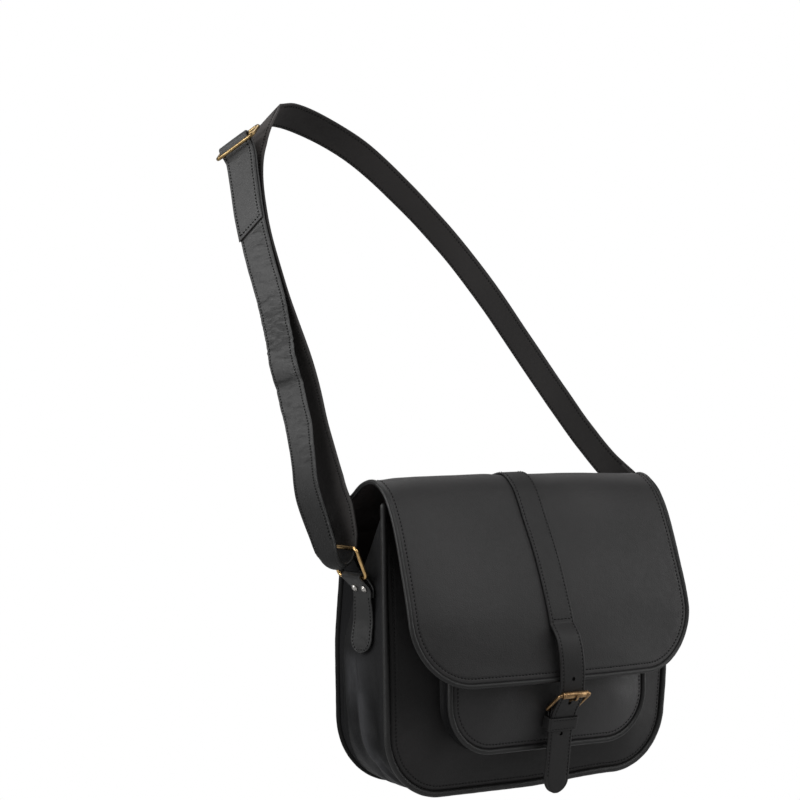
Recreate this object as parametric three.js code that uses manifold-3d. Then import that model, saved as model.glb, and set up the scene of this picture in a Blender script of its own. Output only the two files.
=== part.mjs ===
// Black leather shoulder bag with a curved flap, a box pocket, a roller-buckle
// closure and a long adjustable strap, in the form it takes when it is carried.
//
// Millimetres, +Z up. The bag's front faces -Y and its width lies along X.
// Shapes are worked out in the bag's own frame, which has its zero at the
// middle of the lower edge, and the whole is then moved so that the origin is
// the place under the strap where it sits on the shoulder.

import * as THREE from 'three';
import { mergeVertices } from 'three/addons/utils/BufferGeometryUtils.js';
import Module from 'manifold-3d';

const wasm = await Module();
wasm.setup();

// ------------------------------------------------------------------ sizes

const BAG_WIDTH = 320;          // over the piping
const BAG_DEPTH = 80;           // from piping plane to piping plane
const PANEL_HEIGHT = 268;       // front panel
const BACK_HEIGHT = 240;        // back panel, below the flap's seam
const BACK_FOOT = 4.5;          // the back's lower edge is drawn up
const BACK_CORNER = 66;
const CORNER_RADIUS = 60;       // lower corners of both panels
const WIDTH_TAPER = 0.02;       // the mouth is this share wider than the foot
const SIDE_BOW = { out: 6, z: 110, spread: 55 };   // outward bow of the right side
const FOOT_RISE = { up: 5, from: -10, to: 95 };     // the lower edge is drawn up on the right
const MOUTH_SAG = { down: 20, from: 40, to: 150 };  // and the mouth hangs lower there
const LEATHER = 2;              // body leather
const GAP = 0.35;               // clearance between pieces that meet
const PIPING_RADIUS = 3.2;
const FRONT_BULGE = 20;         // how far the filled front panel stands out
const BULGE_REACH = 80;         // distance from the edge where it is full

const GUSSET_TOP = { front: 258, middle: 206, back: 236 };   // V-shaped mouth

const FLAP_HALF = 162;          // over the flap's piping
const FLAP_LEATHER = 2.4;
const FLAP_CORNER = 62;
const FLAP_PIPING_RADIUS = 2.4;

const POCKET_HALF = 113;
const POCKET_FOOT = 40;
const POCKET_TOP = 158;
const POCKET_CORNER = 48;
const POCKET_FACE = 74;         // front edge, measured from the bag's middle
const POCKET_BULGE = 13;
const POCKET_REACH = 60;
const POCKET_PIPING_RADIUS = 2.8;

const CLOSURE_WIDTH = 27;       // flap strap, buckle tab
const CLOSURE_THICK = 3;
const CLOSURE_SEAM = 276;       // run of the flap where the strap is no longer sewn to it
const HOLE_RADIUS = 1.9;
const TAB_THICK = 2;
const ROLLER = { y: -112, z: 93.5, radius: 3.2, length: 28.5 };
const HINGE = { y: -91, z: 79 };
const BUCKLE_WIRE = 1.6;
const BUCKLE_HALF = 17.3;       // side bars, from the middle
const PRONG_WIRE = 1.2;
const KEEPER = { foot: 60, top: 72.6, slope: -0.3, front: -92.3, back: -84.05, half: 15.6, thick: 1.6 };

const STRAP_WIDTH = 36;
const STRAP_THICK = 2.6;
const LAYER_STEP = 3.05;        // from layer to layer where the strap is doubled

const RING_WIRE = 1.8;
const RING_HALF = 22.5;          // side bars, from the middle
const RING_Y = -5;
const RING_FOOT = { x: 168.5, z: 203 };
const RING_HEAD = { x: 180.2, z: 230.3 };
const RING_BEND = 4.4;

const SIDE_TAB = { loopWidth: 30, width: 28, foot: 134, innerFoot: 185 };
const RIVET = { radius: 3.5, height: 1.7, y: 7.7, z: 193.5 };

const SLIDER = { half: 24, reach: 8.5, tilt: 9.4, wire: 1.9, bar: 1.7, bend: 4, slack: 1.6, offset: 3.2 };
const SLIDER_AT = { x: -122.3, y: 273.2, z: 612.6 };
const SLIDER_ALONG = { x: 0.4, y: -0.765, z: 0.505 };   // along its bars
const SLIDER_UP = { x: -0.05, y: 0.58, z: 0.82 };     // along the strap

const SEAT = { x: -66, y: 292, z: 642 };   // under the strap, on the shoulder

// ----------------------------------------------------------------- tables

// Section of the flap from the back seam to the lip: in the middle, at the left
// edge and at the right edge; run is the distance along the middle.
const FLAP_SECTION = [
  { run: 0, midY: 48, midZ: 214, leftY: 48, leftZ: 214, rightY: 48, rightZ: 214 },
  { run: 31, midY: 47.4, midZ: 245, leftY: 47.4, leftZ: 244, rightY: 47.4, rightZ: 244 },
  { run: 51, midY: 39, midZ: 263, leftY: 39, leftZ: 259.5, rightY: 39, rightZ: 259.5 },
  { run: 70, midY: 24.5, midZ: 275, leftY: 24, leftZ: 268, rightY: 25, rightZ: 269 },
  { run: 88, midY: 8, midZ: 284, leftY: 9, leftZ: 276, rightY: 10, rightZ: 278.5 },
  { run: 104, midY: -6, midZ: 288.6, leftY: -6, leftZ: 286, rightY: -3.5, rightZ: 285 },
  { run: 118, midY: -18, midZ: 290.3, leftY: -21, leftZ: 290.4, rightY: -15, rightZ: 284.6 },
  { run: 129, midY: -27.5, midZ: 286.8, leftY: -33.5, leftZ: 288.8, rightY: -25.5, rightZ: 279.2 },
  { run: 144, midY: -38.5, midZ: 276.6, leftY: -48, leftZ: 277.6, rightY: -36.5, rightZ: 270 },
  { run: 170, midY: -51.5, midZ: 253.5, leftY: -61.5, leftZ: 253, rightY: -49, rightZ: 250.5 },
  { run: 216, midY: -73, midZ: 213, leftY: -74.5, leftZ: 211, rightY: -64.8, rightZ: 211 },
  { run: 269, midY: -91.5, midZ: 163.5, leftY: -86, leftZ: 165, rightY: -80, rightZ: 163 },
  { run: 328, midY: -104, midZ: 105, leftY: -93, leftZ: 105, rightY: -84.5, rightZ: 105 },
];

// Share of the front panel's bulge at each height: the mouth is drawn in.
const FRONT_SWELL = [
  { z: 0, share: 1 },
  { z: 140, share: 1 },
  { z: 190, share: 0.68 },
  { z: 225, share: 0.2 },
  { z: 250, share: -0.25 },
  { z: 268, share: -0.5 },
];

// Outward swell of the gusset by height on its sides.
const GUSSET_SWELL = [
  { z: 0, out: 0 },
  { z: 20, out: 2 },
  { z: 50, out: 5 },
  { z: 80, out: 6.8 },
  { z: 108, out: 7.6 },
  { z: 134, out: 8 },
  { z: 152, out: 5.6 },
  { z: 175, out: 2.2 },
  { z: 206, out: 0.6 },
  { z: 258, out: 0 },
];

// Folds of the gusset: place along its height and across its depth
// (-1 front, +1 back), lean, how far the fold stands out, and its spread.
const GUSSET_FOLDS = [
  { z: 74, spanZ: 46, across: -0.05, lean: 0.002, out: 2.4, spread: 0.17 },
  { z: 66, spanZ: 42, across: 0.36, lean: -0.004, out: -3.2, spread: 0.2 },
  { z: 44, spanZ: 30, across: -0.42, lean: 0.012, out: -2.6, spread: 0.18 },
  { z: 32, spanZ: 24, across: 0.1, lean: -0.014, out: -2.2, spread: 0.16 },
];

// Flap strap below the seam that ends its sewn part, centre of its thickness.
const CLOSURE_FALL = [
  { y: -103.4, z: 147 },
  { y: -107.2, z: 138 },
  { y: -109.4, z: 123.5 },
  { y: -108.7, z: 108 },
  { y: -107.5, z: 100 },
  { y: -106.6, z: 93.5 },
  { y: -103, z: 87 },
  { y: -97.6, z: 79 },
  { y: -95.2, z: 74 },
  { y: -92.8, z: 67.5 },
  { y: -90.8, z: 60 },
  { y: -89.2, z: 50 },
  { y: -87, z: 30 },
  { y: -84.7, z: 10 },
  { y: -83.4, z: 0.5 },
];
// Sideways drift of the flap strap by height.
const CLOSURE_DRIFT = [
  { z: 0, x: -0.8 },
  { z: 64, x: 1 },
  { z: 90, x: 2 },
  { z: 108, x: 1.4 },
  { z: 124, x: 0.4 },
  { z: 145, x: 0 },
  { z: 291, x: 0 },
];
const CLOSURE_HOLES = [{ z: 108.5 }, { z: 86.2 }, { z: 56 }];

// Middle line of the side tabs: they lean to the front.
const SIDE_TAB_LEAN = [
  { z: 134, y: -12 },
  { z: 150, y: -12 },
  { z: 166, y: -12.5 },
  { z: 192, y: -13.5 },
  { z: 198, y: -10 },
  { z: 203, y: -6.2 },
];

// Buckle tab beside the pocket: inner and outer leg by height.
const TAB_LEGS = [
  { z: 58, inner: -84.6, outer: -87 },
  { z: 62, inner: -85.9, outer: -88.3 },
  { z: 67.5, inner: -87.4, outer: -89.8 },
  { z: 74, inner: -88.5, outer: -91.8 },
];

// Strap over the back, from the right ring up to the shoulder, with the
// direction of its outer face.
const BACK_RUN = [
  { x: 180.2, y: -5, z: 230.3, nx: 0.97, ny: 0, nz: 0.2 },
  { x: 177.2, y: -2.5, z: 246, nx: 0.97, ny: 0, nz: 0.2 },
  { x: 170.4, y: 11, z: 265, nx: 0.96, ny: 0, nz: 0.22 },
  { x: 156, y: 38, z: 291, nx: 0.98, ny: -0.02, nz: 0.16 },
  { x: 144.5, y: 63, z: 321, nx: 0.99, ny: -0.04, nz: 0.1 },
  { x: 135, y: 90, z: 356, nx: 0.99, ny: -0.05, nz: 0.08 },
  { x: 126, y: 140, z: 411, nx: 0.98, ny: 0, nz: 0.12 },
  { x: 115, y: 182, z: 461, nx: 0.95, ny: 0.1, nz: 0.22 },
  { x: 96, y: 222, z: 512, nx: 0.88, ny: 0.2, nz: 0.38 },
  { x: 64, y: 258, z: 564, nx: 0.76, ny: 0.34, nz: 0.54 },
  { x: 24, y: 284, z: 608, nx: 0.5, ny: 0.5, nz: 0.7 },
  { x: -21, y: 296, z: 634, nx: 0.16, ny: 0.58, nz: 0.79 },
  { x: -55, y: 293.4, z: 643.2, nx: -0.1, ny: 0.58, nz: 0.79 },
  { x: -76.7, y: 285.4, z: 641.8, nx: -0.3, ny: 0.5, nz: 0.8 },
];

// Strap over the chest, the layer next to the body, from the shoulder to the
// inner side of the left ring's upper bar.
const CHEST_RUN = [
  { x: -90.8, y: 275.8, z: 630, nx: -0.62, ny: 0.2, nz: 0.76 },
  { x: -106.3, y: 269.4, z: 608, nx: -0.88, ny: -0.15, nz: 0.45 },
  { x: -117.5, y: 259.5, z: 581, nx: -0.92, ny: -0.24, nz: 0.3 },
  { x: -125.5, y: 236, z: 531, nx: -0.95, ny: -0.25, nz: 0.12 },
  { x: -131.5, y: 190, z: 459, nx: -0.95, ny: -0.28, nz: 0.05 },
  { x: -138, y: 130, z: 384, nx: -0.95, ny: -0.28, nz: 0 },
  { x: -151, y: 84, z: 328, nx: -0.95, ny: -0.3, nz: 0 },
  { x: -164.5, y: 37, z: 281, nx: -0.93, ny: -0.36, nz: 0 },
  { x: -172.5, y: 9, z: 258, nx: -0.94, ny: -0.32, nz: -0.05 },
  { x: -175.6, y: -2.5, z: 242, nx: -0.97, ny: -0.14, nz: -0.12 },
  { x: -176.4, y: -5, z: 231.3, nx: -0.98, ny: -0.02, nz: -0.12 },
];

// Slack turn of the strap under the left ring's upper bar.
const SLACK_TURN = [
  { x: -178, y: -5, z: 222.5, nx: -0.98, ny: 0, nz: 0.14 },
  { x: -181.2, y: -5, z: 215.4, nx: -0.72, ny: 0, nz: 0.7 },
  { x: -186.6, y: -5, z: 211.4, nx: -0.1, ny: 0, nz: 1 },
  { x: -192.4, y: -5, z: 213.4, nx: 0.72, ny: 0, nz: 0.7 },
  { x: -195.6, y: -4.5, z: 219.6, nx: 0.98, ny: 0, nz: 0.2 },
];

// Outer layer over the chest, from the slack turn up to the slider.
const FRONT_FALL = [
  { x: -196.6, y: -2, z: 229, nx: 0.99, ny: 0.02, nz: 0.06 },
  { x: -196, y: 7, z: 244, nx: 0.98, ny: 0.06, nz: 0.05 },
  { x: -189, y: 41, z: 281, nx: 0.97, ny: 0.16, nz: 0 },
  { x: -170.5, y: 81, z: 327, nx: 0.96, ny: 0.24, nz: 0 },
  { x: -157.5, y: 122, z: 375, nx: 0.95, ny: 0.28, nz: 0 },
  { x: -151, y: 145, z: 402, nx: 0.95, ny: 0.28, nz: 0 },
  { x: -139.5, y: 181, z: 449, nx: 0.95, ny: 0.28, nz: -0.05 },
  { x: -130.5, y: 231, z: 522, nx: 0.95, ny: 0.25, nz: -0.12 },
  { x: -124.2, y: 256, z: 574, nx: 0.93, ny: 0.2, nz: -0.28 },
];
const STRAP_END_RUN = 95;       // length of the end that is turned over the slider's bar
const STRAP_END_SKEW = 5.2;      // slant of that end's cut

const COLOURS = {
  leather: { color: 0x343435, roughness: 0.52, metalness: 0 },
  gusset: { color: 0x2d2d2f, roughness: 0.6, metalness: 0 },
  edge: { color: 0x262627, roughness: 0.5, metalness: 0 },
  strap: { color: 0x303031, roughness: 0.56, metalness: 0 },
  brass: { color: 0x9a7a45, roughness: 0.36, metalness: 1 },
  steel: { color: 0xa9a79f, roughness: 0.32, metalness: 1 },
};

// ------------------------------------------------------------ small helpers

const vec = (p) => new THREE.Vector3(p.x, p.y, p.z);
const xyz = (x, y, z) => new THREE.Vector3(x, y, z);
const clamp = THREE.MathUtils.clamp;
const mix = THREE.MathUtils.lerp;
const bell = (value, middle, spread) => Math.exp(-(((value - middle) / spread) ** 2));

// Smooth value of a table's column at a place between its rows.
function lookup(rows, key, column, at) {
  const last = rows.length - 1;
  if (at <= rows[0][key]) return rows[0][column];
  if (at >= rows[last][key]) return rows[last][column];
  let i = 0;
  while (rows[i + 1][key] < at) i += 1;
  const slope = (k) => {
    const before = rows[Math.max(k - 1, 0)];
    const after = rows[Math.min(k + 1, last)];
    return (after[column] - before[column]) / (after[key] - before[key]);
  };
  const h = rows[i + 1][key] - rows[i][key];
  const t = (at - rows[i][key]) / h;
  return (2 * t ** 3 - 3 * t ** 2 + 1) * rows[i][column]
    + (t ** 3 - 2 * t ** 2 + t) * h * slope(i)
    + (3 * t ** 2 - 2 * t ** 3) * rows[i + 1][column]
    + (t ** 3 - t ** 2) * h * slope(i + 1);
}

// Closed solid from points and triangles, with its faces turned outwards.
function solid(points, triangles) {
  const origin = points[0];
  const a = xyz(0, 0, 0);
  const b = xyz(0, 0, 0);
  const c = xyz(0, 0, 0);
  let volume = 0;
  for (const [i, j, k] of triangles) {
    a.subVectors(points[i], origin);
    b.subVectors(points[j], origin);
    c.subVectors(points[k], origin);
    volume += a.dot(b.cross(c));
  }
  const geometry = new THREE.BufferGeometry();
  geometry.setAttribute('position', new THREE.Float32BufferAttribute(points.flatMap((p) => [p.x, p.y, p.z]), 3));
  geometry.setIndex(triangles.flatMap(([i, j, k]) => (volume < 0 ? [i, k, j] : [i, j, k])));
  geometry.computeVertexNormals();
  return geometry;
}

// Leather wall between two grids of points.
function wall(outer, inner) {
  const rows = outer.length;
  const columns = outer[0].length;
  const points = [...outer.flat(), ...inner.flat()];
  const at = (side, i, j) => (side * rows + i) * columns + j;
  const triangles = [];
  const quad = (p, q, r, s) => triangles.push([p, q, r], [p, r, s]);
  for (let i = 0; i < rows - 1; i += 1) {
    for (let j = 0; j < columns - 1; j += 1) {
      quad(at(0, i, j), at(0, i, j + 1), at(0, i + 1, j + 1), at(0, i + 1, j));
      quad(at(1, i, j), at(1, i + 1, j), at(1, i + 1, j + 1), at(1, i, j + 1));
    }
    quad(at(0, i, 0), at(0, i + 1, 0), at(1, i + 1, 0), at(1, i, 0));
    quad(at(0, i + 1, columns - 1), at(0, i, columns - 1), at(1, i, columns - 1), at(1, i + 1, columns - 1));
  }
  for (let j = 0; j < columns - 1; j += 1) {
    quad(at(0, 0, j + 1), at(0, 0, j), at(1, 0, j), at(1, 0, j + 1));
    quad(at(0, rows - 1, j), at(0, rows - 1, j + 1), at(1, rows - 1, j + 1), at(1, rows - 1, j));
  }
  return solid(points, triangles);
}

// Solid through a row of like sections, with flat ends or closed on itself.
function sweep(sections, closed = false) {
  const count = sections.length;
  const sides = sections[0].length;
  const at = (i, j) => (i % count) * sides + (j % sides);
  const triangles = [];
  for (let i = 0; i < (closed ? count : count - 1); i += 1) {
    for (let j = 0; j < sides; j += 1) {
      triangles.push([at(i, j), at(i, j + 1), at(i + 1, j + 1)], [at(i, j), at(i + 1, j + 1), at(i + 1, j)]);
    }
  }
  if (!closed) {
    for (let j = 1; j < sides - 1; j += 1) {
      triangles.push([at(0, 0), at(0, j + 1), at(0, j)]);
      triangles.push([at(count - 1, 0), at(count - 1, j), at(count - 1, j + 1)]);
    }
  }
  return solid(sections.flat(), triangles);
}

function tangents(points, closed = false) {
  const n = points.length;
  return points.map((_, i) => {
    const before = points[closed ? (i - 1 + n) % n : Math.max(i - 1, 0)];
    const after = points[closed ? (i + 1) % n : Math.min(i + 1, n - 1)];
    return after.clone().sub(before).normalize();
  });
}

// Direction square to a tangent, as near as can be to a wished one.
function squareTo(tangent, wish) {
  return wish.clone().addScaledVector(tangent, -wish.dot(tangent)).normalize();
}

// Round rod along points; hints lie roughly across it.
function rod(points, hints, radius, sides, closed = false) {
  const along = tangents(points, closed);
  return sweep(points.map((point, i) => {
    const u = squareTo(along[i], hints[i]);
    const v = along[i].clone().cross(u);
    return Array.from({ length: sides }, (_, k) => {
      const angle = (2 * Math.PI * (k + 0.5)) / sides;
      return point.clone()
        .addScaledVector(u, radius * Math.cos(angle))
        .addScaledVector(v, radius * Math.sin(angle));
    });
  }), closed);
}

// Flat strap along points; each has its own face direction and width, and the
// ends may be cut on the slant.
function strap(points, faces, widths, thick, skews = []) {
  const along = tangents(points);
  return sweep(points.map((point, i) => {
    const face = squareTo(along[i], faces[i]);
    const across = along[i].clone().cross(face);
    const corner = (side, up) => point.clone()
      .addScaledVector(across, (side * widths[i]) / 2)
      .addScaledVector(face, (up * thick) / 2)
      .addScaledVector(along[i], side * (skews[i] ?? 0));
    return [corner(-1, -1), corner(1, -1), corner(1, 1), corner(-1, 1)];
  }));
}

// Rounded rectangle as a closed row of points in the plane of two directions.
function roundedLoop(centre, u, v, halfU, halfV, bend, arcSteps) {
  const points = [];
  const corners = [[1, 1, 0], [-1, 1, 1], [-1, -1, 2], [1, -1, 3]];
  for (const [su, sv, quarter] of corners) {
    for (let k = 0; k <= arcSteps; k += 1) {
      const angle = (Math.PI / 2) * (quarter + k / arcSteps);
      points.push(centre.clone()
        .addScaledVector(u, su * (halfU - bend) + bend * Math.cos(angle))
        .addScaledVector(v, sv * (halfV - bend) + bend * Math.sin(angle)));
    }
  }
  return points;
}

function toManifold(geometry) {
  const bare = geometry.clone();
  bare.deleteAttribute('normal');
  bare.deleteAttribute('uv');
  const merged = mergeVertices(bare, 1e-4);
  return new wasm.Manifold(new wasm.Mesh({
    numProp: 3,
    vertProperties: new Float32Array(merged.attributes.position.array),
    triVerts: new Uint32Array(merged.index.array),
  }));
}

function fromManifold(manifold) {
  const mesh = manifold.getMesh();
  const geometry = new THREE.BufferGeometry();
  geometry.setAttribute('position', new THREE.BufferAttribute(mesh.vertProperties, 3));
  geometry.setIndex(new THREE.BufferAttribute(mesh.triVerts, 1));
  geometry.computeVertexNormals();
  return geometry;
}

const cut = (body, tools) => fromManifold(tools.reduce((left, tool) => left.subtract(toManifold(tool)), toManifold(body)));
const join = (first, second) => fromManifold(toManifold(first).add(toManifold(second)));

// ------------------------------------------------------------ body of the bag

// Sideways place of a point of the body, with the taper and the right side's bow.
function sideways(x, z) {
  const bow = x > 0 ? SIDE_BOW.out * bell(z, SIDE_BOW.z, SIDE_BOW.spread) * (x / (BAG_WIDTH / 2)) ** 2 : 0;
  return x * (1 + WIDTH_TAPER * (z / PANEL_HEIGHT - 0.5)) + bow;
}
const straight = (x) => x;

// Height of a point of the body, with the rise of the lower edge and the sag of
// the mouth on the right.
function raised(x, z) {
  const rise = THREE.MathUtils.smoothstep(x, FOOT_RISE.from, FOOT_RISE.to);
  const sag = THREE.MathUtils.smoothstep(x, MOUTH_SAG.from, MOUTH_SAG.to);
  return z + FOOT_RISE.up * rise * (1 - clamp(z / 90, 0, 1)) ** 1.5
    - MOUTH_SAG.down * sag * clamp((z - 195) / (PANEL_HEIGHT - 195), 0, 1) ** 1.3;
}
const level = (x, z) => z;

// Points down one side, round the corner, along the foot and up the other
// side, with the outward direction in the panel's plane.
function rim(half, foot, corner, tops, inset, steps) {
  const points = [];
  const sideX = half - inset;
  const bend = corner - inset;
  for (let k = 0; k < steps.side; k += 1) {
    points.push({ x: -sideX, z: mix(tops, foot + corner, k / steps.side), nx: -1, nz: 0 });
  }
  for (let k = 0; k <= steps.arc; k += 1) {
    const angle = (Math.PI / 2) * (k / steps.arc);
    points.push({
      x: -(half - corner) - bend * Math.cos(angle),
      z: foot + corner - bend * Math.sin(angle),
      nx: -Math.cos(angle),
      nz: -Math.sin(angle),
    });
  }
  for (let k = 1; k <= steps.foot / 2; k += 1) {
    points.push({ x: -(half - corner) * (1 - k / (steps.foot / 2)), z: foot + inset, nx: 0, nz: -1 });
  }
  const mirrored = points.slice(0, -1).reverse().map((p) => ({ x: -p.x, z: p.z, nx: -p.nx, nz: p.nz }));
  return [...points, ...mirrored];
}

// Rows of a panel inside such a rim: height and half width.
function panelRows(half, foot, corner, top, inset, arcRows, sideRows) {
  const rows = [];
  const bend = corner - inset;
  for (let k = 0; k <= arcRows; k += 1) {
    const angle = (Math.PI / 2) * (k / arcRows);
    rows.push({ z: foot + corner - bend * Math.cos(angle), half: half - corner + bend * Math.sin(angle) });
  }
  for (let k = 1; k <= sideRows; k += 1) {
    rows.push({ z: mix(foot + corner, top, k / sideRows), half: half - inset });
  }
  return rows;
}

// How far a point lies inside a rim.
function inside(x, z, half, foot, corner) {
  const dx = Math.abs(x) - (half - corner);
  const dz = foot + corner - z;
  if (dx > 0 && dz > 0) return corner - Math.hypot(dx, dz);
  return Math.min(half - Math.abs(x), z - foot);
}

const pillow = (depth, reach) => 1 - (1 - clamp(depth / reach, 0, 1)) ** 2.2;

// Outer face of the front panel.
function frontFace(x, z) {
  const depth = inside(x, z, BAG_WIDTH / 2, 0, CORNER_RADIUS) - 2 * PIPING_RADIUS;
  const swell = FRONT_BULGE * pillow(depth, BULGE_REACH) * lookup(FRONT_SWELL, 'z', 'share', z);
  return -(BAG_DEPTH / 2 + LEATHER / 2) - swell;
}

// Outer face of the pocket's front.
function pocketFace(x, z) {
  const depth = inside(x, z, POCKET_HALF, POCKET_FOOT, POCKET_CORNER) - 2 * POCKET_PIPING_RADIUS;
  const fade = 1 - clamp((z - 112) / (POCKET_TOP - 112), 0, 1) ** 1.5;
  return -POCKET_FACE - LEATHER / 2 - POCKET_BULGE * pillow(depth, POCKET_REACH) * fade;
}

function panel(rows, columns, face, thick, place, height) {
  const outer = [];
  const inner = [];
  for (const row of rows) {
    const line = Array.from({ length: columns + 1 }, (_, j) => {
      const x = row.half * (2 * (j / columns) - 1);
      return { x, z: row.z };
    });
    outer.push(line.map(({ x, z }) => xyz(place(x, z), face(x, z), height(x, z))));
    inner.push(line.map(({ x, z }) => xyz(place(x, z), face(x, z) + thick, height(x, z))));
  }
  return wall(outer, inner);
}

const panelInset = 2 * PIPING_RADIUS + 2.6 * GAP;
const frontPanel = panel(
  panelRows(BAG_WIDTH / 2, 0, CORNER_RADIUS, PANEL_HEIGHT, panelInset, 5, 6),
  12, frontFace, LEATHER, sideways, raised,
);

// The back panel is flat.
function backPanelShape() {
  const shape = new THREE.Shape();
  const outline = rim(BAG_WIDTH / 2, BACK_FOOT, BACK_CORNER, BACK_HEIGHT, panelInset, { side: 4, arc: 7, foot: 4 });
  outline.forEach(({ x, z }, i) => (i ? shape.lineTo(sideways(x, z), raised(x, z)) : shape.moveTo(sideways(x, z), raised(x, z))));
  const geometry = new THREE.ExtrudeGeometry(shape, { depth: LEATHER, bevelEnabled: false });
  geometry.rotateX(Math.PI / 2);
  geometry.translate(0, BAG_DEPTH / 2 + LEATHER / 2, 0);
  return geometry;
}

function piping(half, foot, corner, top, radius, y, place, height, steps) {
  const line = rim(half, foot, corner, top, radius, steps);
  const points = line.map(({ x, z }) => xyz(place(x, z), y, height(x, z)));
  return rod(points, points.map(() => xyz(0, 1, 0)), radius, 6);
}

const bodySteps = { side: 6, arc: 7, foot: 6 };
const pipingFront = piping(BAG_WIDTH / 2, 0, CORNER_RADIUS, PANEL_HEIGHT, PIPING_RADIUS, -BAG_DEPTH / 2, sideways, raised, bodySteps);
const pipingBack = piping(BAG_WIDTH / 2, BACK_FOOT, BACK_CORNER, BACK_HEIGHT, PIPING_RADIUS, BAG_DEPTH / 2, sideways, raised, bodySteps);

// Swell and folds of the gusset, as a distance outwards.
function gussetOut(z, across) {
  const arch = (1 - across ** 2) * (1 + 0.5 * across);
  let out = lookup(GUSSET_SWELL, 'z', 'out', z) * arch;
  for (const fold of GUSSET_FOLDS) {
    const line = fold.across + fold.lean * (z - fold.z);
    out += fold.out * bell(z, fold.z, fold.spanZ / 1.6) * bell(across, line, fold.spread) * (1 - across ** 4);
  }
  return out;
}

function gussetWall() {
  const columns = 8;
  const halfDepth = BAG_DEPTH / 2 - PIPING_RADIUS - GAP;
  const sides = [0, LEATHER].map((depth) => {
    const grid = [];
    for (let j = 0; j <= columns; j += 1) {
      const across = -1 + (2 * j) / columns;
      const corner = across < 0 ? GUSSET_TOP.front : GUSSET_TOP.back;
      const top = mix(GUSSET_TOP.middle, corner, Math.abs(across) ** 1.15);
      const inset = PIPING_RADIUS - LEATHER / 2;
      const share = (across + 1) / 2;
      const line = rim(BAG_WIDTH / 2, mix(0, BACK_FOOT, share), mix(CORNER_RADIUS, BACK_CORNER, share),
        top, inset, { side: 10, arc: 7, foot: 6 });
      grid.push(line.map(({ x, z, nx, nz }) => {
        const out = gussetOut(z, across) - depth;
        return xyz(sideways(x, z) + nx * out, across * halfDepth, raised(x, z) + nz * out);
      }));
    }
    return grid;
  });
  return wall(sides[0], sides[1]);
}

// ------------------------------------------------------------------- the flap

// Outer face: u from -1 at the left edge to 1 at the right, run from the seam.
function flapPoint(u, run, half) {
  const share = Math.abs(u) ** 2;
  const x = u * half;
  const at = (column) => lookup(FLAP_SECTION, 'run', column, run);
  const edge = u < 0 ? 'left' : 'right';
  return xyz(x, mix(at('midY'), at(`${edge}Y`), share), mix(at('midZ'), at(`${edge}Z`), share));
}

const FLAP_RUN = FLAP_SECTION[FLAP_SECTION.length - 1].run;

// Half width of the flap at a run, inset from its outer line.
function flapHalf(run, inset) {
  const left = FLAP_RUN - run;
  const bend = FLAP_CORNER - inset;
  const drop = clamp(FLAP_CORNER - left, 0, bend);
  return FLAP_HALF - FLAP_CORNER + Math.sqrt(Math.max(bend ** 2 - drop ** 2, 0));
}

function flapNormal(u, run, half) {
  const step = 1e-2;
  const p = flapPoint(u, run, half);
  const du = flapPoint(u + step, run, half).sub(p);
  const dr = flapPoint(u, run + 1, half).sub(flapPoint(u, run - 1, half));
  return du.cross(dr).normalize().negate();
}

function flapRuns(lipInset) {
  const runs = [];
  for (let k = 0; k <= 17; k += 1) runs.push((FLAP_RUN - FLAP_CORNER) * (k / 17));
  for (let k = 1; k <= 6; k += 1) {
    runs.push(FLAP_RUN - FLAP_CORNER + (FLAP_CORNER - lipInset) * Math.sin((Math.PI / 2) * (k / 6)));
  }
  return runs;
}

function flapWall() {
  const inset = 2 * FLAP_PIPING_RADIUS + 2 * GAP;
  const columns = 12;
  const outer = [];
  const inner = [];
  for (const run of flapRuns(inset)) {
    const half = flapHalf(run, inset);
    const line = Array.from({ length: columns + 1 }, (_, j) => {
      const x = half * (2 * (j / columns) - 1);
      const u = x / FLAP_HALF;
      return { point: flapPoint(u, run, FLAP_HALF), normal: flapNormal(u, clamp(run, 1.5, FLAP_RUN - 1.5), FLAP_HALF) };
    });
    outer.push(line.map(({ point }) => point));
    inner.push(line.map(({ point, normal }) => point.clone().addScaledVector(normal, -FLAP_LEATHER)));
  }
  return wall(outer, inner);
}

// Line of the flap's piping: down the left edge, along the lip, up the right.
function flapEdge(inset) {
  const left = flapRuns(inset).map((run) => ({ run, x: -flapHalf(run, inset) }));
  const lip = [-0.5, 0, 0.5].map((share) => ({ run: FLAP_RUN - inset, x: share * 2 * (FLAP_HALF - FLAP_CORNER) / 1.5 }));
  const right = [...left].reverse().map(({ run, x }) => ({ run, x: -x }));
  return [...left, ...lip, ...right].map(({ run, x }) => {
    const u = x / FLAP_HALF;
    const normal = flapNormal(u, clamp(run, 1.5, FLAP_RUN - 1.5), FLAP_HALF);
    return { point: flapPoint(u, run, FLAP_HALF).addScaledVector(normal, -FLAP_LEATHER / 2), normal };
  });
}

function flapPiping() {
  const line = flapEdge(FLAP_PIPING_RADIUS);
  return rod(line.map(({ point }) => point), line.map(({ normal }) => normal), FLAP_PIPING_RADIUS, 6);
}

// ----------------------------------------------------------------- the pocket

const pocketFront = panel(
  panelRows(POCKET_HALF, POCKET_FOOT, POCKET_CORNER, POCKET_TOP, 2 * POCKET_PIPING_RADIUS + 2 * GAP, 5, 4),
  10, pocketFace, LEATHER, straight, level,
);
const pocketPiping = piping(
  POCKET_HALF, POCKET_FOOT, POCKET_CORNER, POCKET_TOP, POCKET_PIPING_RADIUS,
  -POCKET_FACE, straight, level, { side: 3, arc: 7, foot: 4 },
);

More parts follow.
